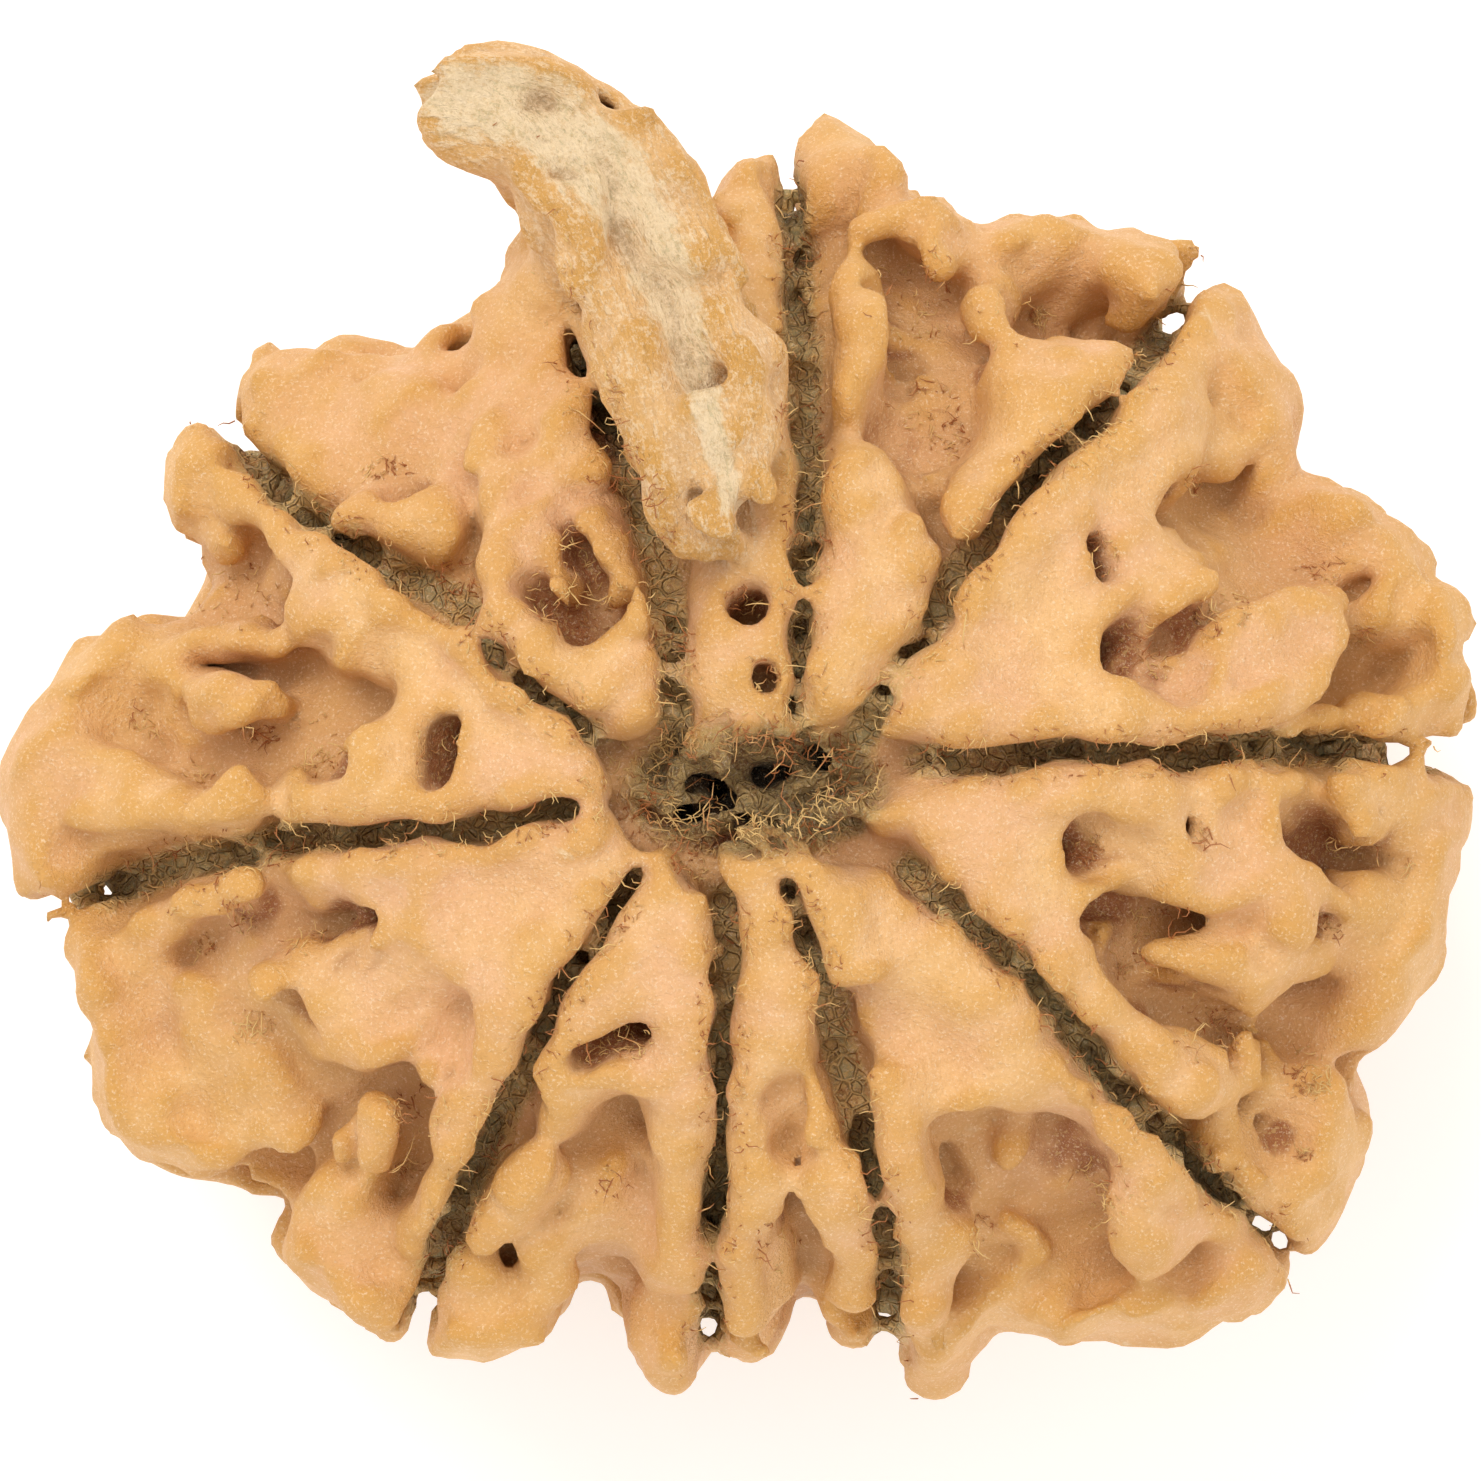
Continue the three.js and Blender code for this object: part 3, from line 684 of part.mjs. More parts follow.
function raiseTrunk() {
  const outline = smoothLine(TRUNK_PLAN, PLAN_STEPS, true);
  eachPlace(...planBox(outline, TRUNK_LOWEST, GRID_HIGH[2]), (x, y) => {
    const side = distanceToOutline(x, y, outline);
    const crest = crestAt(y);
    return (cell, z) => {
      const topped = softMax(side, z - crest, TRUNK_EDGE_ROUND);
      const whole = softMax(topped, crest - TRUNK_THICKNESS - z, TRUNK_EDGE_ROUND);
      form[cell] = softMin(form[cell], whole, KNOB_BLEND);
    };
  });
  for (const [x1, y1, z1, x2, y2, z2, radius] of TRUNK_ROOTS)
    bar(new THREE.Vector3(x1, y1, z1), new THREE.Vector3(x2, y2, z2), radius, radius,
      2 * KNOB_BLEND, false);
  for (const ridge of TRUNK_RIDGES)
    barOnCrest(ridge, ridge.at(-1) - ridge.at(-2), KNOB_BLEND, false);
  for (const cut of TRUNK_CUTS) barOnCrest(cut, cut.at(-1), CUT_BLEND, true);
}

// Random waves in all directions, as rows of three paces and a phase
function waveField(seed, count, long, short) {
  const draw = seededDraws(seed);
  return Array.from({ length: count }, () => {
    const up = 2 * draw() - 1;
    const turn = 2 * Math.PI * draw();
    const flat = Math.sqrt(1 - up * up);
    const pace = (2 * Math.PI) / THREE.MathUtils.lerp(short, long, draw());
    const phase = 2 * Math.PI * draw();
    return [flat * Math.cos(turn) * pace, flat * Math.sin(turn) * pace, up * pace, phase];
  });
}

// Moves the surface in by a share of the waves' sum at each place
function moveIn(waves, shareOf) {
  const scale = Math.sqrt(2 / waves.length);
  everywhere((x, y) => (cell, z) => {
    if (Math.abs(form[cell]) >= FAR) return;
    let sum = 0;
    for (const [a, b, c, phase] of waves) sum += Math.sin(a * x + b * y + c * z + phase);
    form[cell] += shareOf(scale * sum, z);
  });
}

const swell = () =>
  moveIn(waveField(SWELL_SEED, SWELL_WAVES, SWELL_LONG, SWELL_SHORT), (sum) => SWELL_HEIGHT * sum);

const dimple = () =>
  moveIn(waveField(DIMPLE_SEED, DIMPLE_WAVES, DIMPLE_LONG, DIMPLE_SHORT), (sum, z) =>
    DIMPLE_DEPTH * THREE.MathUtils.smoothstep(sum, DIMPLE_FROM, DIMPLE_FULL) *
      (1 - THREE.MathUtils.smoothstep(z, ...DIMPLE_FADE_HIGH)) *
      THREE.MathUtils.smoothstep(z, ...DIMPLE_FADE_LOW));

// The surface where the form is zero, as triangles between points on the grid's edges
function surface() {
  const corners = [
    [0, 0, 0], [1, 0, 0], [1, 1, 0], [0, 1, 0], [0, 0, 1], [1, 0, 1], [1, 1, 1], [0, 1, 1],
  ];
  const edges = [
    [0, 1], [1, 2], [2, 3], [3, 0], [4, 5], [5, 6], [6, 7], [7, 4], [0, 4], [1, 5], [2, 6], [3, 7],
  ];
  const rowLength = 16;
  const positions = [];
  const index = [];
  const known = new Map();
  const pointOn = (i, j, k, edge) => {
    const [a, b] = edges[edge].map((c) => {
      const at = [i + corners[c][0], j + corners[c][1], k + corners[c][2]];
      return { at, cell: cellAt(...at) };
    });
    const key = Math.min(a.cell, b.cell) * form.length + Math.max(a.cell, b.cell);
    if (!known.has(key)) {
      const share = form[a.cell] / (form[a.cell] - form[b.cell]);
      const t = THREE.MathUtils.clamp(share, EDGE_KEEP, 1 - EDGE_KEEP);
      known.set(key, positions.length / 3);
      positions.push(...a.at.map((v, axis) => place(axis, v + (b.at[axis] - v) * t)));
    }
    return known.get(key);
  };
  for (let i = 0; i < COUNT_X - 1; i++)
    for (let j = 0; j < COUNT_Y - 1; j++)
      for (let k = 0; k < COUNT_Z - 1; k++) {
        let kind = 0;
        corners.forEach(([a, b, c], n) => {
          if (form[cellAt(i + a, j + b, k + c)] > 0) kind |= 1 << n;
        });
        for (let n = kind * rowLength; triTable[n] >= 0; n += 3)
          index.push(...[n, n + 1, n + 2].map((m) => pointOn(i, j, k, triTable[m])));
      }
  return new THREE.BufferGeometry()
    .setAttribute("position", new THREE.Float32BufferAttribute(positions, 3))
    .setIndex(index);
}

const wasm = await Module();
wasm.setup();

function solidOf(geometry) {
  const bare = new THREE.BufferGeometry().setAttribute("position", geometry.getAttribute("position"));
  const joined = mergeVertices(bare.setIndex(geometry.getIndex()), 1e-4);
  return new wasm.Manifold(new wasm.Mesh({
    numProp: 3,
    vertProperties: joined.getAttribute("position").array,
    triVerts: new Uint32Array(joined.getIndex().array),
  }));
}

function geometryOf(solid) {
  const mesh = solid.getMesh();
  return new THREE.BufferGeometry()
    .setAttribute("position", new THREE.BufferAttribute(mesh.vertProperties, 3))
    .setIndex(new THREE.BufferAttribute(mesh.triVerts, 1));
}

// The largest body of a solid, without sealed pockets or loose crumbs
function largestBody(solid) {
  return geometryOf(solid.decompose().sort((a, b) => b.volume() - a.volume())[0]);
}

// Corners that only touch are drawn apart, each into its own side of the seed
function partTouching(geometry) {
  geometry.computeVertexNormals();
  const position = geometry.getAttribute("position");
  const normal = geometry.getAttribute("normal");
  const seen = new Map();
  for (let i = 0; i < position.count; i++) {
    const key = [position.getX(i), position.getY(i), position.getZ(i)].join();
    seen.set(key, [...(seen.get(key) ?? []), i]);
  }
  const p = new THREE.Vector3();
  const out = new THREE.Vector3();
  for (const i of [...seen.values()].filter((found) => found.length > 1).flat()) {
    p.fromBufferAttribute(position, i).addScaledVector(out.fromBufferAttribute(normal, i), -TOUCH_GAP);
    position.setXYZ(i, ...p);
  }
  return geometry;
}

// Wears the underside level where the seed rests
function cutRest(geometry) {
  const cutter = new THREE.BoxGeometry(REST_CUTTER_SIZE, REST_CUTTER_SIZE, REST_CUTTER_SIZE)
    .translate(0, 0, REST_LEVEL - REST_CUTTER_SIZE / 2);
  return largestBody(solidOf(geometry).subtract(solidOf(cutter)));
}

layBody();
for (const plan of LOWER_SHELVES) raiseShelf(plan, lowerLevel, SHELF_UNDERSIDE);
for (const [level, plan] of UPPER_SHELVES) raiseShelf(plan, () => level, UPPER_SHELF_UNDERSIDE);
raiseEdges();
raiseNet();
swell();
dimple();
cutGrooves();
cutPits();
raiseTrunk();

const fine = cutRest(surface());
const spare = Math.round(fine.getAttribute("position").count - TARGET_TRIANGLES / 2);
const thinned = await new SimplifyModifier().modify(fine, spare);
const geometry = partTouching(largestBody(solidOf(thinned)));
geometry.computeBoundingBox();
const middle = geometry.boundingBox.getCenter(new THREE.Vector3());
geometry.translate(-middle.x, -middle.y, -geometry.boundingBox.min.z);
geometry.computeVertexNormals();

const seed = new THREE.Mesh(
  geometry,
  new THREE.MeshStandardMaterial({ color: 0xd9a468, roughness: 0.62, metalness: 0 }),
);
seed.name = "seed";

const part = new THREE.Group();
part.name = "rudraksha_seed";
part.add(seed);

export default part;
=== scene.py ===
"""Grows the rudraksha seed's fine skin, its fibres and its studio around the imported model."""

import functools
import math

import bmesh
import bpy
import numpy as np
import openvdb
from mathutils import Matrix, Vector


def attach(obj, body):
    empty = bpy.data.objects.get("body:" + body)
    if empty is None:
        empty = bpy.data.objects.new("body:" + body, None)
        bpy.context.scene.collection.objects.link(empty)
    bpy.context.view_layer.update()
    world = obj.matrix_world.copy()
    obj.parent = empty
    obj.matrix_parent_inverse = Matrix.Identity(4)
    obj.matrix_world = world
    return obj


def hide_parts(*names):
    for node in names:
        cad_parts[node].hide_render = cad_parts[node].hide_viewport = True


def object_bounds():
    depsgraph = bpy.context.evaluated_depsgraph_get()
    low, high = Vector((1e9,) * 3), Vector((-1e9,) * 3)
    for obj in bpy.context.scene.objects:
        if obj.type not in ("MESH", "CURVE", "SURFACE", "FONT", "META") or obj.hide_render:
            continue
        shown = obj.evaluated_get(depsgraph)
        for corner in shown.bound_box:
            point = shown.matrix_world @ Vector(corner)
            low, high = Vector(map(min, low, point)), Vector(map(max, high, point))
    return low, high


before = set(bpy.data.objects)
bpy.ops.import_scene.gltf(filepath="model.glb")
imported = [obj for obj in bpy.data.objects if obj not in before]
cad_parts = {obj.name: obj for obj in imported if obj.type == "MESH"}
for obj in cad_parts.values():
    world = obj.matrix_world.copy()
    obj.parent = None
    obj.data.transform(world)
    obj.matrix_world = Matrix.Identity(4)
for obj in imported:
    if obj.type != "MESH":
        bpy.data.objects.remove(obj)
CAD_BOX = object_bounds()

bl_info = {
    "name": "Rudraksha seed",
    "version": (1, 0, 0),
    "blender": (4, 5, 0),
    "location": "3D View > Sidebar > Seed",
    "description": "Grows a grooved seed with an outgrowth, its fibres and a small studio",
    "category": "Add Mesh",
}

# Lengths in this file's plans are millimetres round the seed's own axis, looking down it,
# with the outgrowth towards +Y. The axis stands at this place in the model's frame.
MM = 0.001
AXIS_PLACE = (0.0293, -1.2536, 9.75)

# The smooth body that the relief stands on
BODY_HALF_HEIGHT = 10.3
BODY_POWER = 2.2
RIM_RADII = (
    14.75, 14.9, 13.7, 13.9, 13.1, 13.3, 12.9, 12.2, 11.6, 12.6, 13.2, 13.5,
    14.8, 14.3, 14.2, 13.4, 13.1, 12.0, 11.8, 12.2, 13.3, 14.7, 14.5, 14.5,
)
VALLEY_DEPTH = 1.9
REST_LEVEL = -9.75

# Grooves between the ten segments
GROOVE_DEPTHS = (1.5, 2.5)
GROOVE_DEEPENS = (4, 10)
GROOVE_RIM_RISE = 1.3
GROOVE_RIM_REACH = 3.5
GROOVE_HALF_WIDTHS = (0.16, 0.23)
GROOVE_WIDENS_OVER = 12
GROOVE_WANDER = 0.08
GROOVES = (
    ((3.7, 0.5), (5.0, 0.5), (6.3, 0.65), (8.0, 0.65), (9.0, 0.6), (9.9, 0.8), (11.0, 0.75),
     (12.1, 0.72), (13.4, 0.6), (15.8, 0.55)),
    ((2.3, 0.8), (2.9, 1.9), (3.5, 2.8), (4.4, 4.3), (5.0, 5.05), (5.7, 6.0), (6.3, 6.6),
     (7.0, 7.15), (7.6, 7.8), (8.1, 8.5), (8.7, 9.4), (10.4, 12.0)),
    ((1.1, 1.3), (1.2, 2.9), (1.25, 4.4), (1.35, 5.5), (1.3, 6.5), (1.2, 7.4), (1.3, 8.2),
     (1.15, 9.2), (1.1, 10.2), (1.0, 11.6), (0.9, 14.4)),
    ((-1.25, 0.7), (-1.3, 2.0), (-1.4, 3.2), (-1.55, 4.2), (-1.9, 5.3), (-2.2, 6.2), (-2.8, 7.5),
     (-3.6, 10.0), (-4.6, 13.5)),
    ((-3.0, 1.1), (-3.6, 1.6), (-4.4, 2.1), (-5.1, 2.9), (-5.5, 3.5), (-6.1, 3.9), (-7.0, 4.35),
     (-7.8, 4.8), (-8.6, 5.35), (-9.3, 6.0), (-10.0, 6.9), (-12.4, 9.0)),
    ((-3.3, -0.45), (-4.6, -0.7), (-6.0, -0.9), (-7.4, -0.95), (-8.8, -1.0), (-9.4, -1.2),
     (-10.2, -1.4), (-11.2, -1.55), (-12.2, -1.95), (-15.8, -2.9)),
    ((-2.1, -1.7), (-2.7, -2.8), (-3.5, -4.0), (-4.0, -5.1), (-4.6, -6.2), (-5.1, -7.2),
     (-5.6, -8.3), (-5.95, -9.2), (-6.3, -10.4), (-7.0, -13.0)),
    ((-0.25, -2.3), (-0.3, -3.6), (-0.35, -5.5), (-0.35, -7.0), (-0.5, -8.6), (-0.6, -10.0),
     (-0.7, -13.5)),
    ((0.95, -2.0), (1.4, -3.1), (1.75, -4.0), (1.9, -5.0), (2.2, -6.0), (2.5, -7.2), (2.75, -8.2),
     (2.95, -9.3), (3.0, -10.4), (3.1, -13.5)),
    ((3.4, -1.7), (4.3, -2.45), (5.2, -3.2), (6.0, -4.1), (6.8, -5.1), (7.6, -6.1), (8.4, -6.9),
     (9.2, -7.65), (10.0, -8.4), (10.8, -9.1), (12.8, -11.2)),
)

# Upper shelves: how far the top stands above the body, and the plan
UPPER_SHELVES = (
    (0, ((2.6, 0.85), (3.9, 0.8), (5.2, 0.95), (7.8, 0.95), (9.8, 1.05), (10.6, 1.1),
     (11.2, 1.45), (11.9, 2.1), (12.2, 2.8), (12.1, 3.7), (11.5, 3.9), (10.4, 3.85), (9.8, 3.5),
     (9.3, 3.0), (9.1, 3.2), (9.4, 4.0), (9.6, 4.4), (8.9, 4.8), (8.3, 5.05), (8.3, 5.4),
     (8.9, 6.1), (9.15, 6.9), (9.1, 7.6), (8.7, 8.1), (8.1, 8.15), (7.5, 7.4), (6.9, 6.75),
     (6.3, 6.2), (5.7, 5.5), (5.2, 4.8), (4.6, 3.9), (4.0, 3.0), (3.4, 2.2), (2.9, 1.5))),
    (0, ((2.1, -0.6), (2.6, 0.3), (3.9, 0.35), (4.9, 0.2), (5.8, 0.4), (7.6, 0.35), (8.8, 0.2),
     (9.8, 0.5), (10.9, 0.6), (11.7, 0.35), (12.5, -0.3), (12.8, -0.9), (12.5, -1.25),
     (12.0, -1.1), (11.6, -0.7), (11.2, -0.8), (11.05, -1.4), (11.35, -2.1), (11.4, -2.6),
     (10.9, -2.65), (10.3, -2.4), (9.8, -2.35), (9.2, -2.65), (8.5, -2.5), (7.5, -2.15),
     (7.05, -2.4), (7.1, -3.2), (7.5, -4.0), (8.3, -4.5), (9.0, -5.0), (9.6, -5.6), (9.65, -6.1),
     (9.2, -6.4), (8.5, -6.3), (7.8, -5.8), (7.0, -4.95), (6.3, -4.1), (5.5, -3.3), (4.8, -2.6),
     (4.0, -1.95), (3.2, -1.4), (2.5, -1.1))),
    (0, ((1.2, -1.8), (2.2, -1.5), (3.1, -1.6), (3.9, -2.4), (4.9, -3.3), (5.7, -4.1),
     (6.5, -5.1), (7.3, -6.1), (8.2, -7.0), (9.0, -7.7), (9.8, -8.4), (10.0, -8.9), (9.3, -9.45),
     (8.5, -9.85), (8.0, -10.0), (7.6, -9.5), (7.35, -8.9), (7.4, -8.3), (7.3, -7.7),
     (6.9, -7.05), (6.3, -6.85), (5.5, -6.9), (4.7, -6.65), (4.3, -6.6), (4.1, -7.2), (4.1, -8.0),
     (3.8, -8.55), (3.4, -8.65), (3.0, -8.2), (2.75, -7.3), (2.5, -6.2), (2.3, -5.2), (2.1, -4.4),
     (1.85, -3.6), (1.4, -2.8), (1.05, -2.1))),
    (0, ((-0.35, -1.4), (0.4, -1.05), (0.95, -1.4), (0.85, -2.1), (1.1, -3.0), (1.45, -3.9),
     (1.6, -5.0), (1.9, -6.1), (2.2, -7.2), (2.55, -8.1), (2.6, -8.9), (2.4, -9.4), (2.0, -9.45),
     (1.6, -9.0), (1.5, -8.1), (1.25, -7.35), (1.0, -7.5), (0.9, -8.3), (0.7, -8.95), (0.2, -9.3),
     (-0.1, -8.9), (-0.2, -7.8), (-0.1, -6.4), (-0.1, -5.0), (-0.05, -3.8), (-0.05, -2.5))),
    (0, ((-1.8, -1.6), (-1.4, -1.35), (-0.8, -1.9), (-0.5, -2.8), (-0.6, -4.0), (-0.6, -5.0),
     (-0.6, -6.2), (-0.6, -7.3), (-0.8, -8.3), (-1.1, -8.9), (-1.5, -8.85), (-1.75, -8.2),
     (-1.85, -7.2), (-1.95, -6.4), (-2.1, -6.15), (-2.6, -6.4), (-3.3, -7.0), (-3.9, -7.0),
     (-4.2, -6.6), (-4.1, -6.1), (-3.7, -5.4), (-3.4, -4.6), (-2.9, -3.6), (-2.35, -2.7))),
    (0, ((-2.6, -0.65), (-3.8, -0.85), (-5.2, -1.1), (-6.6, -1.2), (-8.0, -1.25), (-9.0, -1.4),
     (-9.3, -1.6), (-9.0, -2.0), (-8.3, -2.45), (-7.6, -2.5), (-7.9, -2.9), (-8.7, -3.2),
     (-9.1, -3.6), (-9.8, -3.9), (-9.8, -4.4), (-9.1, -4.7), (-8.8, -5.2), (-8.3, -5.65),
     (-7.5, -5.7), (-6.7, -5.6), (-6.3, -6.0), (-6.25, -6.7), (-6.2, -7.4), (-6.6, -8.2),
     (-6.9, -8.9), (-6.8, -9.4), (-6.3, -9.4), (-5.9, -8.6), (-5.4, -7.4), (-4.9, -6.3),
     (-4.3, -5.2), (-3.9, -4.3), (-3.3, -3.3), (-2.6, -2.5), (-2.2, -1.8))),
    (0, ((-2.7, -0.1), (-3.8, -0.35), (-5.0, -0.55), (-6.6, -0.7), (-8.2, -0.75), (-9.2, -0.8),
     (-9.3, -0.2), (-8.9, 0.3), (-8.3, 0.1), (-7.9, 0.4), (-7.7, 1.0), (-7.1, 1.6), (-7.7, 2.0),
     (-8.4, 2.6), (-9.0, 3.3), (-9.0, 4.0), (-9.3, 4.8), (-10.3, 5.5), (-10.9, 6.2), (-10.6, 6.6),
     (-9.8, 6.1), (-9.0, 5.4), (-8.2, 4.8), (-7.2, 4.2), (-6.2, 3.6), (-5.4, 3.0), (-4.7, 2.2),
     (-3.8, 1.4), (-2.9, 0.8))),
    (0.15, ((-1.45, 0.95), (-1.5, 2.2), (-1.65, 3.2), (-1.8, 4.2), (-2.1, 5.2), (-2.5, 5.7),
     (-3.0, 6.2), (-2.9, 6.7), (-3.5, 6.95), (-4.3, 6.85), (-4.9, 6.5), (-5.25, 6.0),
     (-5.25, 5.0), (-5.3, 4.2), (-5.0, 3.4), (-4.5, 2.7), (-4.0, 2.0), (-3.4, 1.4), (-2.6, 1.0))),
    (-0.3, ((-5.4, 5.9), (-5.3, 5.0), (-5.6, 4.4), (-6.1, 4.2), (-6.8, 4.5), (-7.7, 5.0),
     (-8.4, 5.4), (-8.9, 5.9), (-9.5, 6.3), (-9.8, 6.7), (-9.6, 7.2), (-8.9, 7.6), (-8.0, 7.85),
     (-6.8, 7.9), (-5.8, 7.9), (-5.8, 7.0), (-6.2, 6.5), (-5.6, 6.3))),
    (0.6, ((-6.2, 6.5), (-5.9, 7.1), (-5.4, 7.6), (-5.2, 8.4), (-5.0, 9.1), (-4.6, 9.8),
     (-4.2, 10.2), (-3.7, 10.1), (-3.0, 9.4), (-2.9, 8.4), (-3.1, 7.4), (-3.5, 6.85),
     (-4.3, 6.65), (-5.0, 6.3), (-5.6, 6.0))),
    (0, ((-1.15, 0.8), (-0.6, 0.6), (0.6, 1.1), (0.95, 1.5), (1.0, 3.0), (1.05, 5.0), (1.05, 6.5),
     (0.95, 8.5), (0.85, 10.2), (0.85, 11.3), (0.4, 11.5), (-0.3, 11.0), (-0.5, 9.7), (-0.9, 7.3),
     (-1.1, 5.4), (-1.1, 3.6), (-1.15, 2.4))),
    (0, ((1.4, 1.3), (1.45, 2.9), (1.5, 4.2), (1.7, 5.2), (1.7, 6.2), (1.9, 6.9), (2.5, 7.0),
     (3.0, 6.6), (3.4, 5.6), (3.8, 4.8), (3.85, 4.2), (3.5, 3.4), (3.0, 2.6), (2.7, 1.9),
     (2.2, 1.2), (1.8, 0.95))),
    (-0.1, ((1.85, 7.2), (1.9, 8.2), (2.1, 8.8), (2.4, 8.9), (2.65, 8.5), (2.75, 7.8), (2.7, 7.3),
     (2.3, 7.0))),
    (-0.1, ((1.9, 9.2), (1.85, 10.1), (2.0, 10.8), (2.4, 10.9), (2.8, 10.4), (2.95, 9.7),
     (2.8, 9.1), (2.3, 9.0))),
    (-0.3, ((1.8, 11.0), (2.0, 11.6), (2.6, 12.0), (3.3, 11.9), (3.9, 11.4), (4.4, 11.2),
     (4.4, 10.4), (3.9, 10.3), (3.2, 10.6), (2.7, 10.9))),
    (-0.25, ((4.5, 9.5), (4.7, 10.2), (5.3, 10.3), (5.7, 9.9), (5.6, 9.3), (5.2, 9.0), (4.7, 9.0))
     ),
    (0, ((4.2, 6.6), (4.6, 7.4), (4.8, 8.0), (5.2, 8.7), (5.7, 9.05), (6.4, 8.9), (7.1, 8.85),
     (7.6, 8.7), (7.5, 8.2), (7.2, 7.6), (6.6, 7.1), (6.0, 6.6), (5.4, 5.8), (4.9, 5.1),
     (4.5, 4.95), (4.0, 5.2), (3.7, 5.9), (3.7, 6.3))),
    (-0.6, ((6.0, 9.3), (6.1, 10.1), (6.6, 10.5), (7.3, 10.35), (7.9, 9.9), (8.0, 9.4),
     (7.7, 8.95), (7.2, 9.0), (6.5, 9.1))),
    (-0.6, ((8.2, 8.3), (8.5, 9.0), (9.0, 9.5), (9.6, 9.7), (9.9, 9.2), (10.0, 8.4), (9.8, 7.8),
     (9.3, 7.3), (9.1, 7.9), (8.7, 8.2))),
    (-0.7, ((8.9, -2.9), (9.6, -2.65), (10.1, -3.0), (10.5, -3.6), (10.5, -4.1), (10.2, -4.4),
     (9.4, -4.3), (8.7, -4.35), (8.1, -4.1), (7.9, -3.7), (8.3, -3.2))),
    (-0.9, ((10.3, -2.6), (10.7, -3.0), (11.0, -3.6), (10.6, -4.0), (10.5, -3.4))),
    (-0.9, ((9.7, -5.1), (10.3, -4.9), (10.9, -5.4), (11.0, -5.9), (10.6, -6.3), (10.1, -6.1),
     (9.8, -5.6))),
    (-0.9, ((8.9, -6.7), (9.7, -6.4), (10.3, -6.5), (10.3, -7.0), (10.0, -7.45), (9.4, -7.3))),
    (-0.35, ((3.0, -8.9), (3.1, -9.7), (3.4, -10.1), (3.9, -10.0), (4.3, -9.5), (4.5, -8.8),
     (4.4, -8.3), (3.9, -8.6))),
    (-0.9, ((5.2, -8.4), (5.9, -8.7), (6.5, -9.4), (6.8, -10.1), (6.4, -10.0), (5.8, -9.5),
     (5.3, -9.0))),
    (-0.6, ((8.6, -10.0), (9.4, -9.5), (10.0, -9.1), (10.5, -9.6), (10.4, -9.95), (9.7, -10.1),
     (9.1, -10.5), (8.7, -10.9), (8.4, -10.6))),
    (-0.5, ((-3.6, -7.3), (-3.6, -7.8), (-4.0, -8.5), (-4.4, -8.9), (-4.9, -8.8), (-5.0, -8.3),
     (-4.8, -7.7), (-4.4, -7.3), (-4.0, -7.2))),
    (-0.9, ((-3.8, -8.9), (-3.4, -8.2), (-2.8, -7.4), (-2.3, -7.4), (-2.0, -8.6), (-1.9, -9.2),
     (-2.6, -9.3), (-3.5, -9.3))),
    (-0.4, ((-7.8, -6.3), (-7.9, -7.3), (-7.6, -8.1), (-7.1, -8.0), (-6.7, -7.3), (-6.7, -6.9),
     (-7.0, -6.3), (-7.2, -6.0))),
    (-0.4, ((-9.4, -1.85), (-10.4, -1.8), (-11.4, -2.05), (-12.0, -2.5), (-11.9, -2.9),
     (-11.3, -3.0), (-10.6, -2.5), (-10.0, -2.25), (-9.5, -2.4))),
    (-0.9, ((-9.9, -4.5), (-10.8, -3.9), (-11.6, -3.4), (-12.4, -3.4), (-12.9, -4.0),
     (-12.8, -5.0), (-12.2, -5.7), (-11.4, -6.2), (-10.6, -6.7), (-9.8, -6.95), (-9.0, -7.0),
     (-8.5, -6.7), (-8.1, -6.3), (-8.5, -5.8), (-9.0, -5.2), (-9.5, -4.7))),
    (-0.15, ((-11.65, 1.7), (-11.6, 2.2), (-11.1, 2.4), (-10.2, 2.35), (-9.3, 2.0), (-8.8, 1.6),
     (-9.1, 1.2), (-9.7, 1.2), (-10.4, 0.9), (-11.3, 0.9), (-11.6, 1.2))),
    (-0.25, ((-9.5, -0.95), (-10.4, -1.15), (-11.5, -1.25), (-12.5, -1.5), (-13.2, -1.2),
     (-13.5, -0.5), (-13.6, 0.3), (-13.3, 0.8), (-12.6, 0.7), (-11.8, 0.55), (-11.1, 0.2),
     (-10.5, 0.1), (-9.9, 0.3), (-9.4, 0.2), (-9.35, -0.4))),
    (-0.55, ((-12.8, 1.95), (-12.7, 2.3), (-12.0, 2.75), (-11.0, 3.0), (-10.0, 3.15), (-9.3, 3.1),
     (-9.0, 2.7), (-9.4, 2.4), (-10.4, 2.55), (-11.3, 2.6), (-11.9, 2.2))),
)

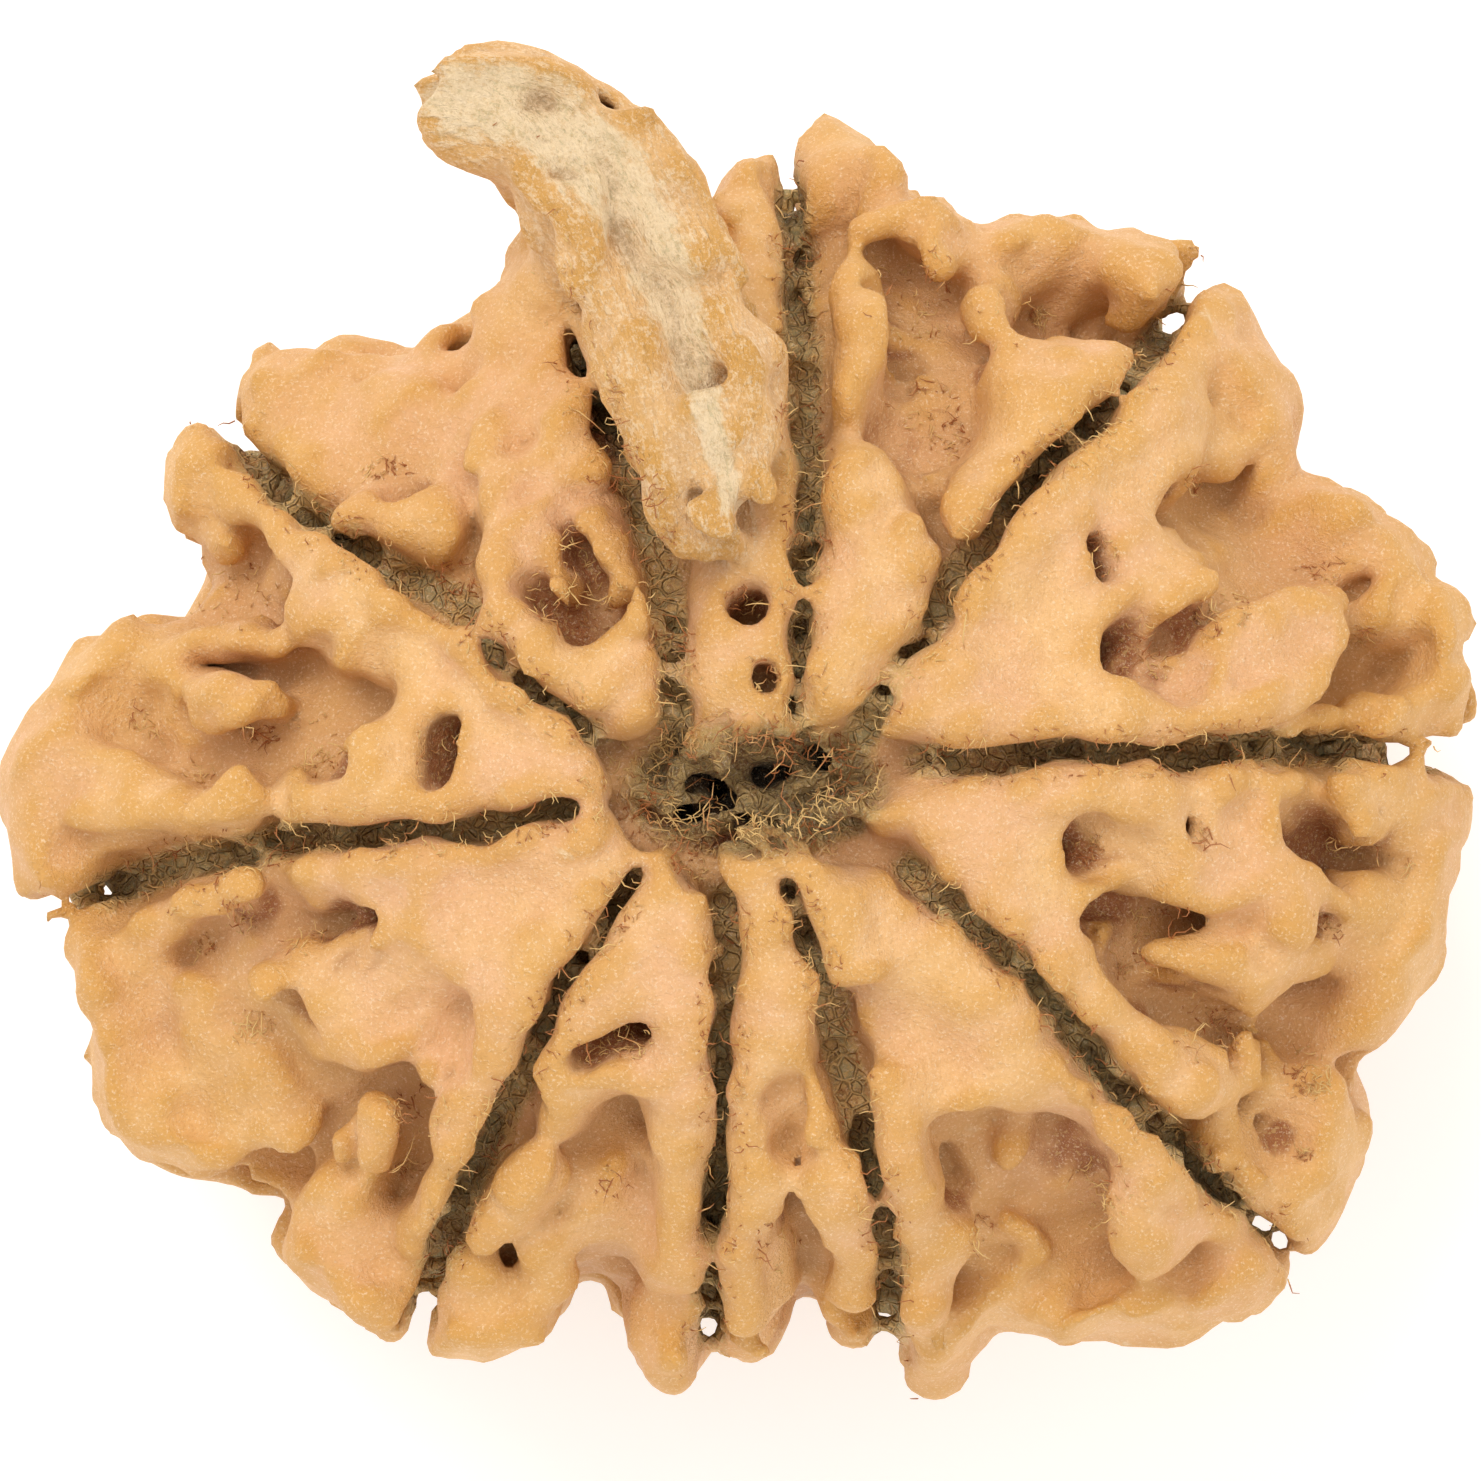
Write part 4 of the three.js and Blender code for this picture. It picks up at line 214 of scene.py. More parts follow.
# Lower shelves reach from the upper ones out to the rim
LOWER_SHELF_DROP = 1.7
LOWER_SHELF_RIM_DROP = -0.7
LOWER_SHELF_RISES_FROM = 0.78
LOWER_SHELVES = (
    ((8.4, 6.0), (8.5, 8.4), (8.9, 9.3), (9.4, 9.6), (9.8, 9.35), (10.15, 8.7), (10.85, 8.2),
     (10.9, 6.4), (11.35, 5.9), (13.0, 5.65), (13.8, 5.4), (14.35, 4.8), (14.2, 4.0), (14.6, 3.3),
     (14.3, 2.5), (14.7, 1.7), (14.35, 0.85), (12.4, 1.0), (10.0, 1.2), (8.2, 3.2)),
    ((10.4, 0.3), (13.2, 0.3), (14.2, 0.2), (14.4, -0.5), (14.4, -2.6), (13.7, -3.8),
     (12.8, -4.8), (12.1, -5.4), (12.2, -6.2), (12.3, -7.2), (12.0, -8.3), (11.3, -9.1),
     (10.7, -9.0), (9.5, -7.8), (8.4, -6.5), (9.2, -4.3), (10.0, -2.0)),
    ((3.1, -8.1), (3.1, -10.9), (3.4, -11.7), (3.85, -12.1), (4.4, -11.4), (5.0, -10.6),
     (5.5, -10.7), (6.5, -11.3), (8.0, -11.2), (8.7, -11.4), (9.5, -10.6), (10.5, -9.85),
     (10.4, -9.3), (8.2, -6.3), (4.2, -5.9)),
    ((-0.4, -8.0), (-0.45, -10.2), (-0.2, -11.2), (0.5, -11.35), (0.95, -9.5), (1.5, -9.4),
     (2.1, -11.1), (2.75, -10.9), (2.6, -8.2), (1.2, -6.5)),
    ((-6.1, -9.7), (-6.1, -10.8), (-5.7, -11.3), (-4.0, -10.95), (-3.3, -9.6), (-2.7, -9.5),
     (-2.1, -11.1), (-1.3, -12.0), (-0.8, -11.1), (-0.75, -9.2), (-1.8, -7.4), (-4.2, -7.3),
     (-5.6, -8.9)),
    ((-9.4, -1.6), (-12.2, -2.1), (-13.0, -2.8), (-13.2, -3.7), (-13.0, -4.8), (-13.1, -5.8),
     (-12.4, -7.1), (-11.1, -7.7), (-9.8, -7.95), (-9.0, -8.3), (-9.2, -9.3), (-8.2, -10.5),
     (-6.9, -11.4), (-6.2, -10.6), (-6.2, -8.3), (-6.8, -5.9), (-8.8, -3.9)),
    ((-9.9, 7.1), (-10.6, 7.3), (-11.35, 6.6), (-11.4, 5.7), (-10.7, 4.3), (-11.5, 3.5),
     (-13.15, 3.0), (-13.85, 2.1), (-14.5, 1.0), (-14.75, 0.0), (-14.4, -1.7), (-13.9, -2.35),
     (-12.2, -1.8), (-11.0, 0.2), (-9.6, 2.9), (-8.8, 4.7)),
    ((-9.7, 7.0), (-9.9, 8.1), (-9.2, 8.8), (-8.0, 8.65), (-6.8, 8.4), (-6.0, 8.9), (-5.15, 9.3),
     (-4.5, 10.4), (-4.3, 11.8), (-3.6, 11.0), (-3.0, 9.3), (-4.8, 7.3), (-7.6, 6.9)),
    ((1.3, 8.2), (1.25, 11.8), (1.75, 12.7), (2.3, 13.3), (3.05, 13.15), (3.35, 12.2),
     (4.05, 11.4), (4.7, 10.7), (6.0, 11.1), (8.2, 11.2), (9.0, 10.8), (8.7, 9.8), (7.7, 8.6),
     (6.4, 7.6), (4.6, 5.6), (3.2, 6.6), (2.0, 7.4)),
    ((-1.2, 9.0), (-0.4, 11.6), (0.0, 12.4), (0.55, 12.3), (0.85, 11.7), (0.85, 9.0)),
)
SHELF_UNDERSIDE = -1.0
UPPER_SHELF_UNDERSIDE = 1.8
SHELF_EDGE_ROUND = 0.7
SHELF_UNDER_ROUND = 2.2

# Fingers and knobs at the edges: ends in plan, radius, centre line above the body
KNOBS = (
    (9.3, 9.2, 9.0, 8.0, 0.6, -0.7), (10.3, 8.4, 10.4, 6.8, 0.6, -0.9),
    (12.8, 5.0, 13.5, 4.7, 0.8, -0.7), (13.3, 3.3, 13.8, 3.2, 0.7, -0.7),
    (13.0, 1.6, 13.9, 1.6, 0.75, -0.7), (10.9, 3.7, 11.8, 3.4, 0.5, -0.35),
    (11.5, 1.3, 12.4, 1.5, 0.55, -0.9), (11.9, 0.1, 12.5, -0.8, 0.42, -0.2),
    (11.3, -1.9, 12.1, -2.45, 0.36, -0.25), (12.9, 0.0, 13.7, -0.3, 0.6, -0.7),
    (12.9, -2.4, 13.6, -2.7, 0.8, -0.8), (11.6, -3.4, 13.0, -3.3, 0.8, -1.3),
    (9.0, -3.6, 10.0, -3.7, 0.6, -0.8), (11.2, -8.3, 11.8, -7.4, 0.7, -0.8),
    (11.9, -6.3, 12.0, -7.0, 0.5, -0.8), (9.9, -8.0, 10.8, -8.6, 0.5, -0.8),
    (3.6, -10.4, 3.7, -11.2, 0.58, -0.2), (5.6, -7.4, 6.2, -8.2, 0.6, -1.5),
    (8.6, -10.5, 8.7, -10.7, 0.5, -0.7), (0.05, -9.4, 0.05, -10.8, 0.48, -0.3),
    (0.7, -9.8, 0.6, -10.9, 0.4, -1.1), (2.3, -9.4, 2.35, -10.5, 0.52, -0.5),
    (-1.3, -9.0, -1.3, -9.8, 0.36, -0.4), (-1.5, -10.0, -1.3, -11.4, 0.72, -0.9),
    (-4.2, -7.8, -4.6, -8.4, 0.5, -0.45), (-5.2, -9.0, -5.4, -9.5, 0.45, -0.7),
    (-5.6, -10.2, -5.6, -10.8, 0.55, -0.8), (-4.2, -9.8, -4.0, -10.5, 0.5, -1.0),
    (-7.4, -6.7, -7.5, -7.6, 0.4, -0.35), (-11.5, -2.4, -10.0, -1.95, 0.4, -0.35),
    (-12.5, -2.9, -12.7, -3.5, 0.5, -0.9), (-12.4, -5.9, -11.8, -6.6, 0.6, -1.1),
    (-11.0, -7.1, -9.6, -7.4, 0.6, -1.2), (-8.5, -8.6, -8.0, -9.4, 0.7, -0.9),
    (-7.6, -9.9, -6.9, -10.4, 0.6, -0.8), (-8.5, -7.6, -8.4, -7.9, 0.4, -0.9),
    (-13.2, -0.6, -11.4, -0.6, 0.5, -0.35), (-10.9, -0.6, -9.9, -0.2, 0.5, -0.3),
    (-11.0, 6.3, -10.4, 5.8, 0.5, -0.4), (-11.3, 5.6, -10.9, 4.9, 0.5, -0.9),
    (-13.3, 2.0, -12.9, 2.4, 0.6, -0.8), (-14.0, 0.4, -13.9, -1.4, 0.6, -0.8),
    (-11.4, 3.2, -10.6, 3.6, 0.5, -1.1), (-9.4, 7.9, -8.7, 8.0, 0.6, -0.8),
    (-7.5, 8.1, -6.9, 8.1, 0.4, -0.7), (-9.3, 7.0, -8.6, 6.7, 0.5, -0.5),
    (-5.9, 8.6, -5.4, 8.9, 0.4, -0.6), (0.2, 11.4, 0.25, 11.9, 0.5, -0.6),
    (1.9, 12.4, 2.2, 12.6, 0.55, -0.8), (2.9, 12.6, 2.9, 12.1, 0.55, -0.35),
    (2.5, 11.5, 3.4, 11.4, 0.45, -0.4), (4.0, 11.0, 4.1, 10.7, 0.35, -0.4),
    (4.9, 9.9, 5.2, 9.4, 0.4, -0.3), (6.6, 10.1, 7.4, 9.8, 0.4, -0.6),
    (6.0, 10.8, 8.4, 10.6, 0.45, -0.7), (7.0, 8.6, 7.3, 8.4, 0.3, -0.1),
)

# Crests along the shelves: radius, centre line above the body, plan
CRESTS = (
    (0.5, -0.22, ((4.6, 1.3), (7.6, 1.45), (10.4, 1.5), (11.4, 2.1), (11.8, 2.9))),
    (0.5, -0.25, ((4.9, 3.8), (6.2, 5.6), (7.4, 6.8), (8.5, 7.7))),
    (0.5, -0.25, ((5.8, -0.15), (8.4, -0.15), (10.6, 0.05), (11.2, -0.1))),
    (0.4, -0.2, ((10.7, -0.3), (10.6, -1.3), (10.9, -2.3))),
    (0.5, -0.3, ((5.6, -2.8), (7.2, -4.4), (9.1, -5.9))),
    (0.55, -0.3, ((2.0, -2.5), (2.6, -3.6), (2.9, -4.2))),
    (0.6, -0.3, ((3.0, -5.8), (3.2, -7.0), (3.45, -8.0))),
    (0.45, -0.25, ((6.4, -5.7), (7.6, -7.0), (9.0, -8.3))),
    (0.45, -0.25, ((8.0, -8.5), (8.4, -9.3))),
    (0.5, -0.35, ((0.5, -4.4), (0.4, -6.0), (0.3, -8.6))),
    (0.42, -0.25, ((1.25, -5.6), (1.6, -7.0), (2.1, -8.8))),
    (0.4, -0.2, ((-2.4, -3.2), (-3.3, -5.2), (-3.85, -6.3))),
    (0.3, -0.05, ((-3.6, -6.0), (-2.6, -5.75), (-1.9, -5.8))),
    (0.45, -0.25, ((-1.1, -3.4), (-1.15, -6.2), (-1.3, -8.3))),
    (0.45, -0.2, ((-3.2, -1.1), (-5.2, -1.5), (-8.8, -1.7))),
    (0.45, -0.25, ((-7.6, -3.4), (-8.8, -4.1), (-9.3, -4.3))),
    (0.45, -0.25, ((-2.9, -2.3), (-4.2, -3.8), (-4.9, -5.4), (-5.7, -7.3), (-6.4, -8.9))),
    (0.42, -0.2, ((-3.6, 1.0), (-5.6, 2.8), (-8.2, 4.4), (-10.3, 6.0))),
    (0.4, -0.2, ((-3.6, -0.05), (-6.0, -0.35), (-8.8, -0.4))),
    (0.35, -0.1, ((-7.4, 0.9), (-7.3, 0.2))),
    (0.4, -0.1, ((-9.2, 1.6), (-11.2, 1.9))),
    (0.45, -0.1, ((-2.8, 1.9), (-4.6, 3.2), (-4.8, 5.7), (-4.0, 6.4), (-3.0, 6.2))),
    (0.35, 0.05, ((-2.5, 5.4), (-2.1, 4.4), (-2.0, 3.2))),
    (0.4, -0.25, ((2.1, 6.3), (2.6, 4.8), (2.4, 3.2))),
    (0.45, -0.3, ((3.2, 5.0), (3.3, 4.2))),
    (0.5, -0.3, ((5.0, 5.9), (5.9, 7.0), (6.8, 8.1))),
    (0.35, -0.15, ((-5.7, 7.3), (-4.7, 8.2), (-4.0, 9.4))),
)

# Pits: ends in plan, radius, depth below the body
PITS = (
    (7.15, 4.9, 7.25, 4.45, 0.3, 1.6), (8.0, 3.1, 7.65, 2.5, 0.36, 2.0),
    (8.2, 2.4, 8.6, 2.6, 0.3, 0.9), (9.3, 3.5, 9.3, 3.1, 0.3, 1.3),
    (6.95, -1.2, 7.0, -1.5, 0.28, 1.8), (9.15, -0.9, 9.3, -1.15, 0.24, 1.8),
    (7.3, -2.7, 8.9, -2.8, 0.4, 1.7), (7.6, -3.4, 7.9, -3.8, 0.35, 1.4),
    (9.0, -4.7, 9.8, -4.9, 0.38, 1.8), (11.6, -1.2, 13.4, -1.6, 0.22, 1.6),
    (11.4, -2.6, 12.0, -2.9, 0.2, 1.5), (11.2, -5.95, 11.6, -5.8, 0.28, 1.9),
    (11.2, -7.3, 11.3, -7.4, 0.18, 1.3), (4.8, -8.7, 4.95, -9.1, 0.34, 2.0),
    (7.1, -7.6, 7.2, -8.9, 0.3, 1.9), (-3.2, -5.4, -2.3, -5.15, 0.26, 1.0),
    (-2.2, -5.1, -1.95, -5.1, 0.32, 2.0), (-2.6, -7.8, -2.4, -7.9, 0.33, 1.8),
    (-9.0, -3.3, -7.5, -2.6, 0.24, 1.2), (-6.9, -6.3, -6.5, -6.45, 0.28, 1.5),
    (-6.8, -7.7, -6.65, -7.55, 0.2, 1.6), (-9.9, -4.75, -9.5, -4.8, 0.34, 1.8),
    (-10.8, -3.2, -10.6, -3.1, 0.22, 1.5), (-10.3, -2.6, -9.8, -2.6, 0.3, 1.3),
    (-6.0, 1.1, -6.15, 0.2, 0.36, 2.0), (-8.5, 0.5, -8.1, 0.45, 0.24, 1.1),
    (-9.8, 1.0, -9.2, 1.0, 0.2, 1.1), (-10.9, 0.3, -10.6, 0.15, 0.2, 0.9),
    (-12.0, 1.4, -11.8, 1.1, 0.26, 1.5), (-10.1, 4.0, -9.5, 3.9, 0.45, 1.9),
    (-3.5, 5.2, -3.1, 4.2, 0.3, 1.2), (-3.1, 4.2, -3.05, 3.4, 0.42, 1.6),
    (-4.1, 3.9, -3.2, 3.1, 0.34, 1.3), (-2.4, 3.8, -3.0, 3.3, 0.32, 1.4),
    (-7.4, 6.25, -6.8, 6.3, 0.2, 1.3), (0.0, 3.5, 0.3, 3.8, 0.36, 1.9),
    (0.45, 2.25, 0.55, 2.15, 0.3, 1.3), (3.0, 10.1, 3.9, 9.8, 0.42, 1.9),
    (3.7, 9.2, 3.9, 9.2, 0.3, 1.8), (3.1, 7.6, 4.3, 7.4, 0.42, 1.5),
    (4.1, 6.6, 4.5, 7.0, 0.22, 1.4), (5.8, 9.5, 6.0, 9.3, 0.2, 1.6),
    (12.4, 3.05, 12.5, 2.9, 0.2, 1.5), (11.2, 4.2, 11.9, 4.3, 0.22, 1.5),
    (9.1, 6.1, 8.9, 5.9, 0.2, 1.5), (-1.6, -0.4, -1.5, -0.5, 0.36, 3.6),
    (-0.7, -0.35, -0.05, -0.6, 0.42, 4.2), (0.9, 0.3, 1.0, 0.8, 0.3, 2.8),
    (2.1, 0.7, 2.25, 0.6, 0.24, 2.4), (1.3, -0.7, 1.6, -1.2, 0.4, 1.5),
    (-1.1, -1.3, -0.9, -1.8, 0.36, 1.0), (-1.7, 0.75, -1.5, 0.65, 0.22, 1.8),
    (0.0, -0.8, 0.7, -0.8, 0.25, 2.4),
)

# Broad shallow hollows: ends in plan, radius, depth below the body
HOLLOWS = (
    (-1.5, 0.0, 1.8, 0.0, 1.0, 0.9), (-8.8, 1.6, -7.6, 2.1, 0.9, 0.55),
    (-6.0, -5.2, -5.8, -4.8, 0.5, 0.8), (-8.2, -3.6, -6.4, -4.4, 1.0, 0.45),
    (7.3, -1.3, 7.9, -1.6, 0.7, 0.8), (8.1, 2.9, 8.9, 2.4, 0.6, 0.8),
    (3.0, -4.7, 4.2, -5.4, 0.7, 0.5), (-8.2, 6.6, -6.2, 6.9, 0.8, 0.8),
    (3.5, 7.6, 4.1, 7.8, 0.9, 1.0), (3.4, 9.9, 3.8, 9.6, 0.6, 1.0),
    (0.95, -6.4, 1.05, -7.3, 0.3, 0.7), (-11.8, 4.2, -10.2, 4.2, 0.7, 1.3),
    (4.8, -7.4, 6.6, -8.0, 0.8, 1.5), (5.8, 9.4, 6.0, 9.9, 0.35, 1.0),
    (10.0, 4.6, 10.8, 4.9, 0.8, 1.0), (12.8, 2.5, 13.4, 2.5, 0.6, 1.2),
    (11.6, -0.9, 12.2, -1.4, 0.4, 0.9), (-12.6, 1.4, -12.0, 1.5, 0.5, 1.1),
    (-10.6, -5.2, -9.6, -5.0, 0.7, 1.3), (2.2, -4.7, 2.8, -4.8, 0.35, 0.5),
    (9.5, -9.6, 9.1, -9.9, 0.3, 0.8),
)

# The outgrowth over the rim
TRUNK_PLAN = (
    (-0.2, 4.5), (0.15, 4.9), (0.15, 5.4), (0.4, 6.3), (0.75, 7.2), (0.85, 8.2), (0.5, 9.2),
    (0.0, 10.0), (-0.3, 11.0), (-0.6, 11.6), (-1.1, 12.1), (-1.4, 12.9), (-1.8, 13.4),
    (-2.6, 13.65), (-3.1, 14.0), (-3.5, 14.4), (-4.2, 14.8), (-5.0, 14.85), (-5.6, 14.5),
    (-6.0, 14.3), (-6.3, 13.5), (-6.1, 12.9), (-5.8, 12.5), (-5.0, 12.15), (-4.5, 11.9),
    (-4.4, 11.4), (-4.1, 10.8), (-3.6, 10.1), (-3.1, 9.4), (-2.9, 8.6), (-2.5, 7.8), (-2.2, 7.0),
    (-1.9, 6.1), (-1.6, 5.3), (-0.9, 4.6),
)
TRUNK_CREST_START = 12.0
TRUNK_CREST_START_Y = 5.0
TRUNK_CREST_SLOPE = 0.36
TRUNK_THICKNESS = 3.4
TRUNK_EDGE_ROUND = 2.0
TRUNK_ROOTS = (
    (-0.9, 6.2, 8.2, -1.6, 9.0, 7.0, 1.0),
    (-1.6, 9.0, 7.0, -2.6, 11.4, 5.6, 1.1),
    (-2.0, 9.5, 4.4, -3.8, 12.2, 6.6, 1.0),
    (-4.6, 9.0, 5.6, -3.2, 10.2, 7.0, 0.8),
)

# Ridges and cuts on the outgrowth's crest: ends in plan, radius, rise above the crest
TRUNK_RIDGES = (
    (-2.3, 13.0, -1.7, 12.1, 0.5, 0.15), (-1.3, 12.0, -0.6, 10.6, 0.5, 0.12),
    (-0.5, 10.3, 0.1, 8.7, 0.55, 0.05), (0.2, 8.4, 0.15, 7.0, 0.55, -0.1),
    (-3.4, 10.9, -2.9, 9.6, 0.45, 0.1), (-2.7, 9.2, -2.3, 8.0, 0.5, 0.15),
    (-2.0, 7.5, -1.4, 6.0, 0.45, 0.05), (-1.2, 5.6, -0.4, 5.2, 0.55, 0.05),
    (-5.8, 13.2, -4.0, 12.9, 0.55, 0.2), (-5.5, 14.0, -4.0, 14.3, 0.4, 0.1),
    (-3.9, 14.2, -3.1, 13.7, 0.35, 0.12), (-4.1, 11.5, -3.9, 12.1, 0.26, 0.3),
    (-3.8, 12.2, -3.2, 12.2, 0.26, 0.32), (-3.1, 12.1, -2.9, 11.7, 0.24, 0.25),
)
TRUNK_CUTS = (
    (-3.1, 13.3, -2.6, 12.7, 0.26, 0.05), (-2.5, 12.6, -2.0, 11.8, 0.2, 0.05),
    (-2.0, 11.8, -1.6, 10.9, 0.14, 0.05), (-3.8, 11.85, -3.3, 11.85, 0.2, -0.1),
    (-4.9, 13.5, -4.3, 13.5, 0.14, 0.1), (-5.0, 14.1, -4.0, 13.9, 0.1, 0.12),
    (-1.9, 8.4, -1.6, 7.6, 0.16, 0.08),
)

# The raised net and the pits on the flanks and underside, drawn by rule
NET_SEED = 20
NET_ROWS = 7
NET_LATITUDES = (2, -76)
NET_GROOVE_MARGIN = 1.05
NET_MIDDLE_WIDTH = 5.2
NET_BAR_RADIUS = 0.9
NET_BAR_RADIUS_SPREAD = 0.3
NET_BAR_DROP = 1.0
NET_BAR_DROP_SPREAD = 0.35
NET_LOW_BAR_RISE = 0.15
NET_CROSS_CHANCE = 0.8
NET_MIDDLE_CHANCE = 0.5
NET_KNOB_CHANCE = 0.45
NET_KNOB_RADIUS = 1.2
NET_JITTER = 0.6
FLANK_PIT_SEED = 5
FLANK_PITS = 56
FLANK_PIT_LATITUDES = (16, -62)
FLANK_PIT_RADIUS = 0.45
FLANK_PIT_RADIUS_SPREAD = 0.55
FLANK_PIT_DEPTH = 2.2
PIT_MOUTH = 0.6
PIT_FLOOR_SHARE = 0.75

# Softness of joins and cuts
SHELF_BLEND = 0.3
KNOB_BLEND = 0.35
CUT_BLEND = 0.2

# Gentle unevenness of the whole surface, dimples in the flanks, the rough lining of the grooves
# and centre, and the skin's own fine ripples
SWELL_SEED = 7
SWELL_WAVES = 16
SWELL_LONG = 6
SWELL_SHORT = 2.6
SWELL_HEIGHT = 0.14
DIMPLE_SEED = 12
DIMPLE_WAVES = 18
DIMPLE_LONG = 6.5
DIMPLE_SHORT = 3.6
DIMPLE_DEPTH = 0.7
DIMPLE_FROM = -0.1
DIMPLE_FULL = 1.4
DIMPLE_FADE_HIGH = (0.5, 4)
DIMPLE_FADE_LOW = (-8.8, -5.5)
CRUMB_SEED = 44
CRUMB_WAVES = 30
CRUMB_LONG = 1.1
CRUMB_SHORT = 0.5
CRUMB_HEIGHT = 0.11
RIPPLE_SEED = 31
RIPPLE_WAVES = 24
RIPPLE_LONG = 1.6
RIPPLE_SHORT = 0.7

# Red-brown stains beside the pits: place in plan and reach
STAINS = (
    (3.5, 9.8, 1.5), (3.7, 7.3, 1.2), (-2.9, 7.6, 1.1), (-2.6, 6.3, 0.9), (-10.2, 4.0, 1.4),
    (-8.5, 0.8, 1.0), (-10.6, -2.6, 1.2), (-6.4, -6.4, 1.0), (8.6, -3.2, 1.5), (9.3, -5.0, 1.0),
    (11.3, -5.7, 0.8), (7.2, -7.9, 1.0), (0.8, -9.2, 0.8), (8.0, 2.9, 1.0), (9.7, 3.4, 0.8),
    (-2.4, 0.0, 1.3), (0.4, 0.2, 1.8), (2.4, 0.2, 0.9), (-5.6, 4.1, 0.7), (5.1, 9.1, 0.8),
)

# The pale band along the outgrowth's crest
PALE_BAND = ((-5.4, 13.6), (-4.0, 13.4), (-3.0, 12.3), (-2.0, 11.2), (-1.4, 9.8), (-0.9, 8.4),
             (-0.6, 7.2), (-0.3, 6.2), (-0.2, 5.6))
PALE_HALF_WIDTHS = (0.25, 0.95)

# The rough lining: how far from a groove's line it fades, between which levels, and its place
# round the central opening
LINING_SIDES = (0.2, 0.42)
LINING_LEVELS = (-1.0, -0.45)
CORE_MIDDLE = (0.3, -0.1)
CORE_REACH = (2.5, 1.3)
CORE_CRUMB = 2.6

# Ragged holes of the central opening: place, radius and depth
CORE_HOLES = ((-1.55, -0.4, 0.36, 2.4), (-1.1, -0.15, 0.2, 2.0), (-0.55, -0.2, 0.42, 3.2),
              (-0.15, -0.5, 0.4, 3.2), (0.35, -0.75, 0.22, 2.2), (0.95, 0.15, 0.26, 2.2),
              (1.2, 0.75, 0.26, 2.0), (2.15, 0.75, 0.3, 1.9), (1.6, -0.85, 0.3, 1.4),
              (-1.2, 0.75, 0.2, 1.6))

# Ridges and clefts of the outgrowth's bark: both ends in plan, radius and rise above its crest
BARK_RIDGES = ((-3.9, 12.1, -3.3, 11.9, 0.62, 0.5), (-2.4, 12.9, -1.6, 11.9, 0.7, 0.42),
               (-1.6, 11.9, -0.9, 10.4, 0.6, 0.4), (-3.1, 10.9, -2.5, 9.7, 0.55, 0.3),
               (-2.0, 8.9, -1.5, 7.7, 0.6, 0.3), (-0.2, 9.2, 0.2, 7.6, 0.6, 0.3),
               (-1.1, 7.2, -0.3, 5.6, 0.7, 0.35), (0.1, 7.0, 0.3, 6.0, 0.5, 0.2),
               (-5.7, 13.9, -4.9, 13.2, 0.7, 0.35), (-5.3, 12.8, -4.1, 12.9, 0.55, 0.3),
               (-5.2, 14.4, -3.6, 14.0, 0.5, 0.2))
BARK_CLEFTS = ((-3.1, 13.3, -2.6, 12.4, 0.14, 0.02), (-2.6, 12.4, -2.1, 11.3, 0.2, 0.05),
               (-2.1, 11.3, -1.6, 9.9, 0.16, 0.05), (-3.7, 12.15, -3.3, 12.05, 0.2, 0.35))

# Lumps of the outgrowth's bark
BARK_SEED = 57
BARK_WAVES = 30
BARK_LONG = 2.4
BARK_SHORT = 0.9
BARK_HEIGHT = 0.17

# The outgrowth's spine in plan, run on past both of its ends
TRUNK_SPINE = ((-9.0, 13.6), (-7.2, 14.0), (-5.6, 13.9), (-4.2, 13.3), (-3.1, 12.2), (-2.2, 10.8),
               (-1.5, 9.2), (-0.9, 7.5), (-0.4, 5.9), (0.1, 3.5))

# Furrows along the outgrowth: spacing and depth
FURROWS = ((1.5, 0.13), (0.7, 0.08))

# How far round a point the skin looks to tell a crest from a hollow
CREST_REACH = 0.35
HOLLOW_REACH = 0.9

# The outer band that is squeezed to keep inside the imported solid's box
SQUEEZE_BAND = 1.0

# The photograph's frame: its side and the seed's axis in pixels, and its scale
PHOTO_SIZE = 1481
PHOTO_AXIS = (740, 785)
PHOTO_PIXELS_PER_MM = 50

# Sampling of the form
GRID_LOW = (-16.0, -13.6, -11.4)
GRID_HIGH = (16.0, 16.0, 12.8)
FAR = 1.5
PLAN_STEPS = 3
LINE_STEPS = 2
SPINE_STEPS = 8
MASK = 0xFFFFFFFF


def seeded_draws(seed):
    """Evenly spread draws from 0 to 1, the same on every run."""
    state = seed & MASK

    def draw():
        nonlocal state
        state = (state + 0x6D2B79F5) & MASK
        t = ((state ^ (state >> 15)) * (state | 1)) & MASK
        t ^= (t + (((t ^ (t >> 7)) * (t | 61)) & MASK)) & MASK
        return (t ^ (t >> 14)) / (MASK + 1)

    return draw


def lerp(a, b, t):
    return a + (b - a) * t


def smoothstep(x, low, high):
    t = np.clip((x - low) / (high - low), 0, 1)
    return t * t * (3 - 2 * t)


def soft_min(a, b, k):
    h = np.maximum(k - np.abs(a - b), 0) / k
    return np.minimum(a, b) - h * h * (k * 0.25)


def soft_max(a, b, k):
    return -soft_min(-a, -b, k)


def smooth_line(points, steps, closed):
    """Points along a smooth line through the given ones."""
    p = np.array(points, float)
    if closed:
        p = np.vstack([p[-1:], p, p[:2]])
    else:
        p = np.vstack([2 * p[:1] - p[1:2], p, 2 * p[-1:] - p[-2:-1]])
    a, b, c, d = (p[i:len(p) - 3 + i, None] for i in range(4))
    t = (np.arange(steps) / steps)[:, None]
    made = b + 0.5 * t * (c - a + t * (2 * a - 5 * b + 4 * c - d + t * (3 * (b - c) + d - a)))
    made = made.reshape(-1, p.shape[1])
    return made if closed else np.vstack([made, p[-2:-1]])


def piece_distance(x, y, a, b):
    ex, ey = b - a
    t = np.clip(((x - a[0]) * ex + (y - a[1]) * ey) / (ex * ex + ey * ey), 0, 1)
    return np.hypot(x - a[0] - ex * t, y - a[1] - ey * t)


